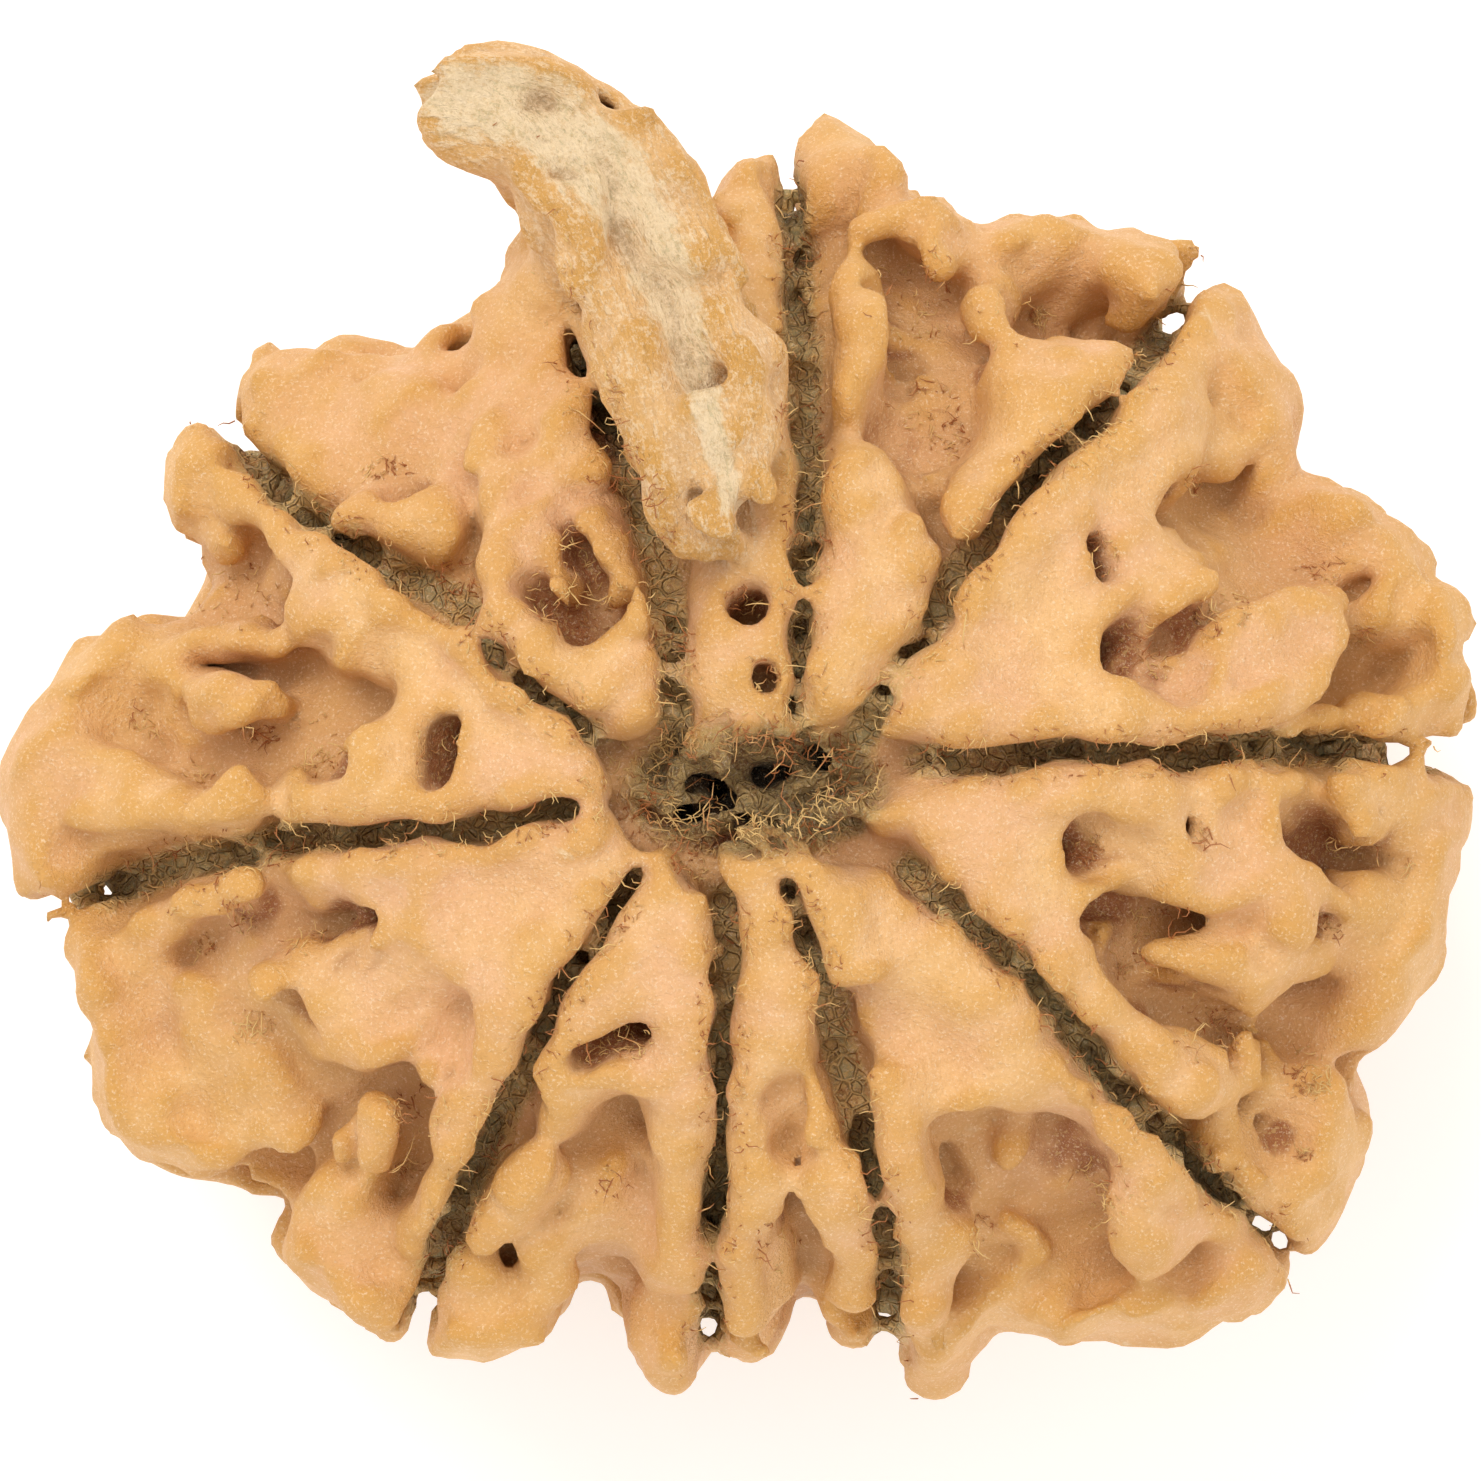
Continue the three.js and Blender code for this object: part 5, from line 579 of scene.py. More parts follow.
def line_distance(x, y, line):
    return np.min([piece_distance(x, y, a, b) for a, b in zip(line, line[1:])], axis=0)


def outline_distance(x, y, outline):
    """Distance in plan to a closed outline, negative inside it."""
    least = line_distance(x, y, np.vstack([outline, outline[:1]]))
    inside = np.zeros(x.shape, bool)
    for a, b in zip(np.roll(outline, 1, axis=0), outline):
        if a[1] != b[1]:
            left = x < (b[0] - a[0]) * (y - a[1]) / (b[1] - a[1]) + a[0]
            inside ^= ((a[1] > y) != (b[1] > y)) & left
    return np.where(inside, -least, least)


def rim_radius(x, y):
    """Radius of the body's rim in a direction, from the radii given round it."""
    radii = np.array(RIM_RADII)
    at = (np.arctan2(y, x) / (2 * math.pi) % 1) * len(radii)
    i = np.floor(at).astype(int)
    t = at - i
    a, b, c, d = (radii[(i + k) % len(radii)] for k in (-1, 0, 1, 2))
    return b + 0.5 * t * (c - a + t * (2 * a - 5 * b + 4 * c - d + t * (3 * (b - c) + d - a)))


def body_share(x, y, z):
    """How far out a point lies, where 1 is the body's surface."""
    flat = np.hypot(x, y) / rim_radius(x, y)
    tall = np.abs(z) / BODY_HALF_HEIGHT
    return (flat ** BODY_POWER + tall ** BODY_POWER) ** (1 / BODY_POWER)


def raised_along(way, lift):
    """The point on a ray from the middle, at a distance above the body."""
    way = np.asarray(way, float)
    length = np.linalg.norm(way)
    return way * ((length / body_share(*way) + lift) / length)


def over_plan(x, y, lift):
    """The point of the upper body over a place in plan, raised along its ray."""
    flat = min(math.hypot(x, y) / float(rim_radius(x, y)), 0.998)
    z = BODY_HALF_HEIGHT * (1 - flat ** BODY_POWER) ** (1 / BODY_POWER)
    return raised_along((x, y, z), lift)


def wave_field(seed, waves, long, short):
    """Random waves in all directions, as rows of three paces and a phase."""
    draw = seeded_draws(seed)
    rows = []
    for _ in range(waves):
        up = 2 * draw() - 1
        turn = 2 * math.pi * draw()
        flat = math.sqrt(1 - up * up)
        pace = 2 * math.pi / lerp(short, long, draw())
        rows.append((flat * math.cos(turn) * pace, flat * math.sin(turn) * pace, up * pace,
                     2 * math.pi * draw()))
    return rows


class Form:
    """The seed as a distance on a grid, negative inside it."""

    def __init__(self, cell):
        self.cell = cell
        self.axes = [np.arange(low, high, cell, dtype=np.float32)
                     for low, high in zip(GRID_LOW, GRID_HIGH)]
        self.x, self.y, self.z = np.meshgrid(*self.axes, indexing="ij", sparse=True)
        self.plan_x, self.plan_y = np.meshgrid(*self.axes[:2], indexing="ij")
        length = np.sqrt(self.x ** 2 + self.y ** 2 + self.z ** 2)
        share = body_share(self.x, self.y, self.z)
        self.above = (length * (1 - 1 / np.maximum(share, 0.01))).astype(np.float32)
        self.value = np.minimum(self.above + VALLEY_DEPTH, FAR)

    def window(self, low, high):
        """The slices of the grid that cover a box."""
        return tuple(
            slice(max(int((low[a] - GRID_LOW[a]) / self.cell), 0),
                  max(int((high[a] - GRID_LOW[a]) / self.cell) + 2, 0)) for a in range(3))

    def bar(self, a, b, radius_a, radius_b, blend, cut=False, field=None):
        """Joins on or cuts away a round bar between two points."""
        field = self.value if field is None else field
        reach = max(radius_a, radius_b) + FAR
        w = self.window(np.minimum(a, b) - reach, np.maximum(a, b) + reach)
        x, y, z = self.x[w[0]] - a[0], self.y[:, w[1]] - a[1], self.z[:, :, w[2]] - a[2]
        e = np.asarray(b) - a
        t = np.clip((x * e[0] + y * e[1] + z * e[2]) / max(e @ e, 1e-9), 0, 1)
        gap = np.sqrt((x - e[0] * t) ** 2 + (y - e[1] * t) ** 2 + (z - e[2] * t) ** 2)
        gap = (gap - lerp(radius_a, radius_b, t)).astype(np.float32)
        field[w] = (soft_max(field[w], -gap, blend) if cut else soft_min(field[w], gap, blend))

    def shelf(self, plan, level_at, underside):
        """Stands a shelf over its plan, up to a level above the body."""
        outline = smooth_line(plan, PLAN_STEPS, True)
        w = self.window((*(outline.min(0) - FAR), underside - 2 * FAR),
                        (*(outline.max(0) + FAR), GRID_HIGH[2]))
        x, y = self.plan_x[w[:2]], self.plan_y[w[:2]]
        side = outline_distance(x, y, outline)[:, :, None].astype(np.float32)
        level = level_at(np.hypot(x, y) / rim_radius(x, y))
        topped = soft_max(side, self.above[w] - level[:, :, None].astype(np.float32),
                          SHELF_EDGE_ROUND)
        whole = soft_max(topped, underside - self.z[:, :, w[2]], SHELF_UNDER_ROUND)
        near = side <= FAR
        self.value[w] = np.where(near, soft_min(self.value[w], whole, SHELF_BLEND), self.value[w])

    def move_in(self, rows, share_of, weight=1.0):
        """Moves the surface in by a share of the waves' sum at each place."""
        near = np.nonzero(np.abs(self.value) < FAR)
        x, y, z = (axis[i] for axis, i in zip(self.axes, near))
        total = np.zeros(len(x), np.float32)
        for a, b, c, phase in rows:
            total += np.sin(a * x + b * y + c * z + phase)
        weight = np.broadcast_to(weight, self.value.shape)[near]
        self.value[near] += weight * share_of(math.sqrt(2 / len(rows)) * total, z)

    def sample(self, values, points):
        """Values of a grid at points, between its cells."""
        at = (points - np.array(GRID_LOW)) / self.cell
        i = np.clip(np.floor(at).astype(int), 0, np.array(values.shape) - 2)
        t = at - i
        total = 0
        for corner in np.ndindex(2, 2, 2):
            share = np.prod(np.where(corner, t, 1 - t), axis=1)
            total = total + share * values[tuple((i + corner).T)]
        return total


def lining_at(x, y, side):
    """How much of a place in plan the rough lining covers."""
    return np.maximum(1 - smoothstep(side, *LINING_SIDES), core_at(x, y))


def core_at(x, y):
    """1 in the ragged middle of the plan, 0 outside it."""
    return 1 - smoothstep(np.hypot((x - CORE_MIDDLE[0]) / CORE_REACH[0],
                                   (y - CORE_MIDDLE[1]) / CORE_REACH[1]), 0.75, 1.15)


def dimple_depth(total, z):
    fade = (1 - smoothstep(z, *DIMPLE_FADE_HIGH)) * smoothstep(z, *DIMPLE_FADE_LOW)
    return DIMPLE_DEPTH * smoothstep(total, DIMPLE_FROM, DIMPLE_FULL) * fade


def lower_level(share):
    rise = smoothstep(share, LOWER_SHELF_RISES_FROM, 1)
    return -lerp(LOWER_SHELF_DROP, LOWER_SHELF_RIM_DROP, rise)


def raise_edges(form):
    for x1, y1, x2, y2, radius, lift in KNOBS:
        form.bar(over_plan(x1, y1, lift), over_plan(x2, y2, lift), radius, radius, KNOB_BLEND)
    for radius, lift, plan in CRESTS:
        line = [over_plan(x, y, lift) for x, y in smooth_line(plan, LINE_STEPS, False)]
        for a, b in zip(line, line[1:]):
            form.bar(a, b, radius, radius, KNOB_BLEND)


def direction(turn, tilt):
    return (math.cos(turn) * math.cos(tilt), math.sin(turn) * math.cos(tilt), math.sin(tilt))


def raise_net(form):
    """Rows of bars down each segment, with jittered crossings between them."""
    draw = seeded_draws(NET_SEED)
    net = np.full_like(form.value, FAR)
    ends = sorted(math.atan2(line[-1][1], line[-1][0]) % (2 * math.pi) for line in GROOVES)
    for start, stop in zip(ends, ends[1:] + [ends[0] + 2 * math.pi]):
        last = []
        for row in range(NET_ROWS):
            share = row / (NET_ROWS - 1)
            latitude = math.radians(lerp(*NET_LATITUDES, share))
            ring = RIM_RADII[0] * math.cos(latitude)
            width = (stop - start) * ring
            margin = min(NET_GROOVE_MARGIN, width / 3) / ring
            columns = [start + margin, stop - margin]
            if width > NET_MIDDLE_WIDTH:
                jitter = (draw() - 0.5) * NET_JITTER * 2 / ring
                columns.insert(1, (start + stop) / 2 + 2 * jitter)
            nodes = []
            for turn in columns:
                tilt = latitude + (draw() - 0.5) * NET_JITTER / BODY_HALF_HEIGHT
                drop = (NET_BAR_DROP - NET_LOW_BAR_RISE * min(2 * share, 1)
                        + draw() * NET_BAR_DROP_SPREAD)
                radius = NET_BAR_RADIUS + draw() * NET_BAR_RADIUS_SPREAD
                nodes.append((raised_along(direction(turn, tilt), -drop), radius))
            pairs = []
            if last:
                pairs += [(last[0], nodes[0]), (last[-1], nodes[-1])]
                if len(last) > 2 and len(nodes) > 2 and draw() < NET_MIDDLE_CHANCE:
                    pairs.append((last[1], nodes[1]))
            pairs += [pair for pair in zip(nodes, nodes[1:]) if draw() < NET_CROSS_CHANCE]
            for (a, radius_a), (b, radius_b) in pairs:
                form.bar(a, b, radius_a, radius_b, KNOB_BLEND, field=net)
            for at, _ in nodes:
                if draw() < NET_KNOB_CHANCE:
                    form.bar(at, at, NET_KNOB_RADIUS, NET_KNOB_RADIUS, KNOB_BLEND, field=net)
            last = nodes
    join_within_shelves(form, net)


def join_within_shelves(form, net):
    """Joins the net on, no further out in plan than the lower shelves."""
    x, y = form.plan_x, form.plan_y
    side = np.hypot(x, y) - rim_radius(x, y) + VALLEY_DEPTH
    for plan in LOWER_SHELVES:
        side = np.minimum(side, outline_distance(x, y, smooth_line(plan, PLAN_STEPS, True)))
    kept = soft_max(net, side[:, :, None].astype(np.float32), CUT_BLEND)
    form.value = soft_min(form.value, kept, KNOB_BLEND)


def groove_lines():
    return [smooth_line(plan, LINE_STEPS, False) for plan in GROOVES]


def cut_grooves(form):
    x, y = form.plan_x, form.plan_y
    side = np.min([line_distance(x, y, line) for line in groove_lines()], axis=0)
    wander = np.sin(2.3 * x + 1.1 * y) * np.sin(1.7 * y - 1.3 * x + 1) * GROOVE_WANDER
    half = lerp(*GROOVE_HALF_WIDTHS, np.minimum(np.hypot(x, y) / GROOVE_WIDENS_OVER, 1)) + wander
    gap = (side - half)[:, :, None].astype(np.float32)
    depth = lerp(*GROOVE_DEPTHS, smoothstep(np.hypot(x, y), *GROOVE_DEEPENS))[:, :, None]
    rise = GROOVE_RIM_RISE * np.maximum(1 - np.abs(form.z) / GROOVE_RIM_REACH, 0)
    slot = soft_max(gap, rise - form.above - depth.astype(np.float32), CUT_BLEND)
    form.value = np.where(gap > FAR, form.value, soft_max(form.value, -slot, CUT_BLEND))
    return np.minimum(side, FAR)


def cut_pits(form):
    draw = seeded_draws(FLANK_PIT_SEED)
    for _ in range(FLANK_PITS):
        turn = 2 * math.pi * draw()
        way = direction(turn, math.radians(lerp(*FLANK_PIT_LATITUDES, draw())))
        radius = FLANK_PIT_RADIUS + draw() * FLANK_PIT_RADIUS_SPREAD
        form.bar(raised_along(way, radius - FLANK_PIT_DEPTH), raised_along(way, PIT_MOUTH),
                 radius * PIT_FLOOR_SHARE, radius, KNOB_BLEND, cut=True)
    for x1, y1, x2, y2, radius, depth in PITS:
        steps = max(math.ceil(math.hypot(x2 - x1, y2 - y1) / radius), 1)
        for i in range(steps + 1):
            x, y = lerp(x1, x2, i / steps), lerp(y1, y2, i / steps)
            form.bar(over_plan(x, y, -depth), over_plan(x, y, PIT_MOUTH),
                     radius * PIT_FLOOR_SHARE, radius, CUT_BLEND, cut=True)
    for x, y, radius, depth in CORE_HOLES:
        form.bar(over_plan(x, y, -depth), over_plan(x, y, PIT_MOUTH), radius, radius, CUT_BLEND,
                 cut=True)
    for x1, y1, x2, y2, radius, depth in HOLLOWS:
        lift = radius - depth
        form.bar(over_plan(x1, y1, lift), over_plan(x2, y2, lift), radius, radius,
                 2 * KNOB_BLEND, cut=True)


def on_crest(x, y, rise):
    """The point over a place in plan, at a rise above the outgrowth's crest."""
    return np.array((x, y, TRUNK_CREST_START - TRUNK_CREST_SLOPE * (y - TRUNK_CREST_START_Y) + rise))


def raise_trunk(form):
    outline = smooth_line(TRUNK_PLAN, PLAN_STEPS, True)
    w = form.window((*(outline.min(0) - FAR), 2), (*(outline.max(0) + FAR), GRID_HIGH[2]))
    side = outline_distance(form.plan_x[w[:2]], form.plan_y[w[:2]], outline)[:, :, None]
    z = form.z[:, :, w[2]]
    crest = TRUNK_CREST_START - TRUNK_CREST_SLOPE * (form.y[:, w[1]] - TRUNK_CREST_START_Y)
    topped = soft_max(side, z - crest, TRUNK_EDGE_ROUND)
    whole = soft_max(topped, crest - TRUNK_THICKNESS - z, TRUNK_EDGE_ROUND)
    spine = line_distance(form.plan_x[w[:2]], form.plan_y[w[:2]],
                          smooth_line(TRUNK_SPINE, SPINE_STEPS, False))[:, :, None]
    drift = np.sin(0.8 * form.y[:, w[1]]) + 0.7 * np.sin(2.1 * form.y[:, w[1]] + z)
    for pace, depth in FURROWS:
        whole = whole + depth * np.sin(2 * math.pi * spine / pace + drift)
    form.value[w] = soft_min(form.value[w], whole, KNOB_BLEND)
    for x1, y1, z1, x2, y2, z2, radius in TRUNK_ROOTS:
        form.bar(np.array((x1, y1, z1)), np.array((x2, y2, z2)), radius, radius, 2 * KNOB_BLEND)
    for x1, y1, x2, y2, radius, rise in TRUNK_RIDGES:
        form.bar(on_crest(x1, y1, rise - radius), on_crest(x2, y2, rise - radius), radius, radius,
                 KNOB_BLEND)
    for x1, y1, x2, y2, radius, rise in TRUNK_CUTS:
        form.bar(on_crest(x1, y1, rise), on_crest(x2, y2, rise), radius, radius, CUT_BLEND, cut=True)


def box_blur(values, reach):
    """Mean over a cube of cells, by running sums along each axis."""
    for axis in range(3):
        pad = [(0, 0)] * 3
        pad[axis] = (reach + 1, reach)
        total = np.cumsum(np.pad(values, pad, mode="edge"), axis=axis, dtype=np.float32)
        size = values.shape[axis]
        high = np.take(total, range(2 * reach + 1, 2 * reach + 1 + size), axis=axis)
        low = np.take(total, range(0, size), axis=axis)
        values = (high - low) / (2 * reach + 1)
    return values


@functools.lru_cache
def grown_form(cell, fine):
    """The whole seed as a form, with the finer unevenness that only the skin carries."""
    form = Form(cell)
    for plan in LOWER_SHELVES:
        form.shelf(plan, lower_level, SHELF_UNDERSIDE)
    for level, plan in UPPER_SHELVES:
        form.shelf(plan, lambda share, level=level: np.full_like(share, level),
                   UPPER_SHELF_UNDERSIDE)
    raise_edges(form)
    raise_net(form)
    form.move_in(wave_field(SWELL_SEED, SWELL_WAVES, SWELL_LONG, SWELL_SHORT),
                 lambda total, z: SWELL_HEIGHT * total)
    form.move_in(wave_field(DIMPLE_SEED, DIMPLE_WAVES, DIMPLE_LONG, DIMPLE_SHORT), dimple_depth)
    side = cut_grooves(form)
    cut_pits(form)
    form.move_in(wave_field(CRUMB_SEED, CRUMB_WAVES, CRUMB_LONG, CRUMB_SHORT),
                 lambda total, z: CRUMB_HEIGHT * total,
                 (lining_at(form.plan_x, form.plan_y, side)[:, :, None]
                  * (1 - smoothstep(form.above, *LINING_LEVELS))
                  + CORE_CRUMB * core_at(form.plan_x, form.plan_y)[:, :, None]))
    raise_trunk(form)
    outline = smooth_line(TRUNK_PLAN, PLAN_STEPS, True)
    on_trunk = 1 - smoothstep(outline_distance(form.plan_x, form.plan_y, outline), -0.1, 0.5)
    for x1, y1, x2, y2, radius, rise in BARK_RIDGES:
        form.bar(on_crest(x1, y1, rise - radius), on_crest(x2, y2, rise - radius), radius,
                 0.75 * radius, KNOB_BLEND)
    for x1, y1, x2, y2, radius, rise in BARK_CLEFTS:
        form.bar(on_crest(x1, y1, rise), on_crest(x2, y2, rise), radius, 0.7 * radius, CUT_BLEND,
                 cut=True)
    form.move_in(wave_field(BARK_SEED, BARK_WAVES, BARK_LONG, BARK_SHORT),
                 lambda total, z: BARK_HEIGHT * total * smoothstep(z, 3, 5),
                 on_trunk[:, :, None])
    form.move_in(wave_field(RIPPLE_SEED, RIPPLE_WAVES, RIPPLE_LONG, RIPPLE_SHORT),
                 lambda total, z: fine * total)
    form.value = np.maximum(form.value, REST_LEVEL - form.z)
    return form


def skin_mesh(form):
    """The surface where the form is zero, as one body of small faces."""
    grid = openvdb.FloatGrid(FAR)
    grid.copyFromArray(np.ascontiguousarray(form.value, dtype=np.float32))
    points, quads = grid.convertToQuads(isovalue=0.0)
    points = points * form.cell + np.array(GRID_LOW)
    mesh = bpy.data.meshes.new("seed_skin")
    mesh.from_pydata(points.tolist(), [], quads.tolist())
    bm = bmesh.new()
    bm.from_mesh(mesh)
    keep_largest(bm)
    bmesh.ops.smooth_vert(bm, verts=bm.verts, factor=0.4, use_axis_x=True, use_axis_y=True,
                          use_axis_z=True)
    bmesh.ops.recalc_face_normals(bm, faces=bm.faces)
    bm.to_mesh(mesh)
    bm.free()
    return mesh


def keep_largest(bm):
    """Drops every loose crumb but the largest body."""
    bm.verts.index_update()
    label = np.full(len(bm.verts), -1)
    sizes = []
    for seed in bm.verts:
        if label[seed.index] >= 0:
            continue
        stack, count = [seed], 0
        label[seed.index] = len(sizes)
        while stack:
            vert = stack.pop()
            count += 1
            for edge in vert.link_edges:
                other = edge.other_vert(vert)
                if label[other.index] < 0:
                    label[other.index] = len(sizes)
                    stack.append(other)
        sizes.append(count)
    largest = int(np.argmax(sizes))
    crumbs = [v for v in bm.verts if label[v.index] != largest]
    bmesh.ops.delete(bm, geom=crumbs, context="VERTS")


def mesh_points(mesh):
    flat = np.empty(len(mesh.vertices) * 3)
    mesh.vertices.foreach_get("co", flat)
    return flat.reshape(-1, 3)


def write_attribute(mesh, name, values):
    made = mesh.attributes.new(name, "FLOAT", "POINT")
    made.data.foreach_set("value", np.asarray(values, np.float32))


def place_on_axis(mesh):
    """Moves a mesh from plans in millimetres to the model's frame in metres."""
    points = squeeze_in((mesh_points(mesh) + np.array(AXIS_PLACE)) * MM)
    mesh.vertices.foreach_set("co", points.ravel())
    mesh.update()


def squeeze_in(points):
    """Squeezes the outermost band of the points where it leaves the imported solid's box."""
    band = SQUEEZE_BAND * MM
    for axis, (low, high) in enumerate(zip(*CAD_BOX)):
        place = points[:, axis]
        for edge, far, way in ((high - band, place.max() - high + band, 1),
                               (low + band, low + band - place.min(), -1)):
            out = np.maximum((place - edge) * way, 0)
            place = place + way * out * (min(band / far, 1) - 1)
        points[:, axis] = place
    return points


def thin_mesh(mesh, most):
    """Thins a mesh to a number of triangles, fewest where it is smooth."""
    triangles = sum(len(p.vertices) - 2 for p in mesh.polygons)
    helper = bpy.data.objects.new("thinner", mesh)
    bpy.context.scene.collection.objects.link(helper)
    thin = helper.modifiers.new("thin", "DECIMATE")
    thin.ratio = min(most / triangles, 1)
    made = bpy.data.meshes.new_from_object(
        helper.evaluated_get(bpy.context.evaluated_depsgraph_get()))
    bpy.data.objects.remove(helper)
    bpy.data.meshes.remove(mesh)
    return made


def mark_skin(mesh, form):
    """Writes on each point what the skin's colours follow."""
    points = mesh_points(mesh)
    solid = (form.value < 0).astype(np.float32)
    near = box_blur(box_blur(solid, max(round(CREST_REACH / form.cell), 1)), 1)
    wide = box_blur(solid, round(HOLLOW_REACH / form.cell))
    write_attribute(mesh, "crest", 0.5 - form.sample(near, points))
    write_attribute(mesh, "hollow", form.sample(wide, points) - 0.5)
    write_attribute(mesh, "above", form.sample(form.above, points))
    x, y = points[:, 0], points[:, 1]
    side = np.min([line_distance(x, y, line) for line in groove_lines()], axis=0)
    write_attribute(mesh, "groove", side)
    write_attribute(mesh, "lining", lining_at(x, y, side))
    write_attribute(mesh, "core", core_at(x, y))
    write_attribute(mesh, "reach", np.hypot(x, y) / rim_radius(x, y))
    write_attribute(mesh, "stain", stain_at(points))
    write_attribute(mesh, "pale", pale_at(points))
    write_attribute(mesh, "trunk", trunk_at(points))
    across, along = spine_place(points)
    write_attribute(mesh, "across", across)
    write_attribute(mesh, "along", along)


def trunk_at(points):
    """1 on the outgrowth, 0 elsewhere."""
    side = outline_distance(points[:, 0], points[:, 1], smooth_line(TRUNK_PLAN, PLAN_STEPS, True))
    crest = TRUNK_CREST_START - TRUNK_CREST_SLOPE * (points[:, 1] - TRUNK_CREST_START_Y)
    low = crest - TRUNK_THICKNESS
    return (1 - smoothstep(side, 0.0, 0.4)) * smoothstep(points[:, 2], low, low + 0.8)


def spine_place(points):
    """How far each point lies beside the outgrowth's spine in plan, and along it."""
    line = smooth_line(TRUNK_SPINE, SPINE_STEPS, False)
    across, along = np.full(len(points), np.inf), np.zeros(len(points))
    done = 0
    for a, b in zip(line, line[1:]):
        length = np.linalg.norm(b - a)
        way, gap = (b - a) / length, points[:, :2] - a
        share = np.clip(gap @ way, 0, length)
        off = gap - share[:, None] * way
        beside = np.hypot(off[:, 0], off[:, 1])
        nearer = beside < np.abs(across)
        turned = way[0] * off[:, 1] - way[1] * off[:, 0]
        across = np.where(nearer, np.copysign(beside, turned), across)
        along = np.where(nearer, done + share, along)
        done += length
    return across, along


def stain_at(points):
    """How red-brown the resin is: strongest in and round the pits."""
    total = np.zeros(len(points))
    for x1, y1, x2, y2, radius, depth in PITS:
        a, b = over_plan(x1, y1, -depth / 2), over_plan(x2, y2, -depth / 2)
        middle = (a + b) / 2
        reach = radius * 2.2 + np.linalg.norm(b - a) / 2
        gap = np.linalg.norm(points - middle, axis=1)
        total = np.maximum(total, 1 - smoothstep(gap, reach * 0.35, reach * 1.25))
    for x, y, reach in STAINS:
        gap = np.linalg.norm(points - over_plan(x, y, -0.8), axis=1)
        total = np.maximum(total, 1 - smoothstep(gap, reach * 0.3, reach * 1.2))
    return total


def pale_at(points):
    """How cream the outgrowth's crest is: a band that widens towards its head."""
    line = smooth_line(PALE_BAND, LINE_STEPS, False)
    side = line_distance(points[:, 0], points[:, 1], line)
    crest = TRUNK_CREST_START - TRUNK_CREST_SLOPE * (points[:, 1] - TRUNK_CREST_START_Y)
    high = smoothstep(points[:, 2], crest - 2.6, crest - 1.0)
    half = lerp(*PALE_HALF_WIDTHS, smoothstep(points[:, 1], PALE_BAND[-1][1], PALE_BAND[0][1]))
    return (1 - smoothstep(side / half, 0.3, 1.5)) * high


class Wire:
    """A value in a material, on which sums and products add Math nodes."""

    def __init__(self, nodes, socket):
        self.nodes = nodes
        self.socket = socket

    def math(self, operation, *values, clamp=False):
        node = self.nodes.add("ShaderNodeMath", {"operation": operation, "use_clamp": clamp},
                              dict(enumerate(values)))
        return Wire(self.nodes, node.outputs[0])

    def __add__(self, other):
        return self.math("ADD", self, other)

    def __sub__(self, other):
        return self.math("SUBTRACT", self, other)

    def __rsub__(self, other):
        return self.math("SUBTRACT", other, self)

    def __mul__(self, other):
        return self.math("MULTIPLY", self, other)

    __radd__ = __add__
    __rmul__ = __mul__

    def step(self, low, high):
        """0 below low, 1 above high, smooth between; low may be the greater."""
        node = self.nodes.add("ShaderNodeMapRange", {"interpolation_type": "SMOOTHSTEP"},
                              {"Value": self, "From Min": min(low, high), "From Max": max(low, high),
                               "To Min": float(low > high), "To Max": float(low < high)})
        return Wire(self.nodes, node.outputs["Result"])


class Nodes:
    """The node tree of a new material."""

    def __init__(self, name):
        self.material = bpy.data.materials.new(name)
        self.material.use_nodes = True
        self.tree = self.material.node_tree
        self.tree.nodes.clear()

    def add(self, kind, settings=None, inputs=None):
        node = self.tree.nodes.new(kind)
        for key, value in (settings or {}).items():
            setattr(node, key, value)
        for key, value in (inputs or {}).items():
            if isinstance(value, Wire):
                self.tree.links.new(value.socket, node.inputs[key])
            else:
                node.inputs[key].default_value = value
        return node

    def wire(self, kind, output, settings=None, inputs=None):
        return Wire(self, self.add(kind, settings, inputs).outputs[output])

    def attribute(self, name):
        return self.wire("ShaderNodeAttribute", "Fac", {"attribute_name": name})

    def noise(self, place, scale, detail=2.0, roughness=0.5, distortion=0.0):
        return self.wire("ShaderNodeTexNoise", "Fac", None,
                         {"Vector": place, "Scale": scale, "Detail": detail,
                          "Roughness": roughness, "Distortion": distortion})

    def mix(self, share, first, second, blend="MIX"):
        """A colour between two, by a share."""
        node = self.add("ShaderNodeMix", {"data_type": "RGBA", "blend_type": blend})
        colours = [socket for socket in node.inputs if socket.type == "RGBA"]
        factor = node.inputs[0]
        for socket, value in ((factor, share), (colours[0], first), (colours[1], second)):
            if isinstance(value, Wire):
                self.tree.links.new(value.socket, socket)
            else:
                socket.default_value = value if isinstance(value, float) else (*value, 1.0)
        made = next(s for s in node.outputs if s.type == "RGBA")
        return Wire(self, made)

    def finish(self, **inputs):
        """Ends the tree in a surface with the given inputs, its constants on their sockets."""
        inputs = {key.replace("_", " "): value for key, value in inputs.items()}
        surface = self.add("ShaderNodeBsdfPrincipled", None, inputs)
        output = self.add("ShaderNodeOutputMaterial")
        self.tree.links.new(surface.outputs[0], output.inputs["Surface"])
        return self.material


def in_millimetres(nodes):
    """Object coordinates counted in millimetres."""
    place = nodes.wire("ShaderNodeTexCoord", "Object")
    return nodes.wire("ShaderNodeVectorMath", "Vector", {"operation": "SCALE"},
                      {0: place, "Scale": 1 / MM})


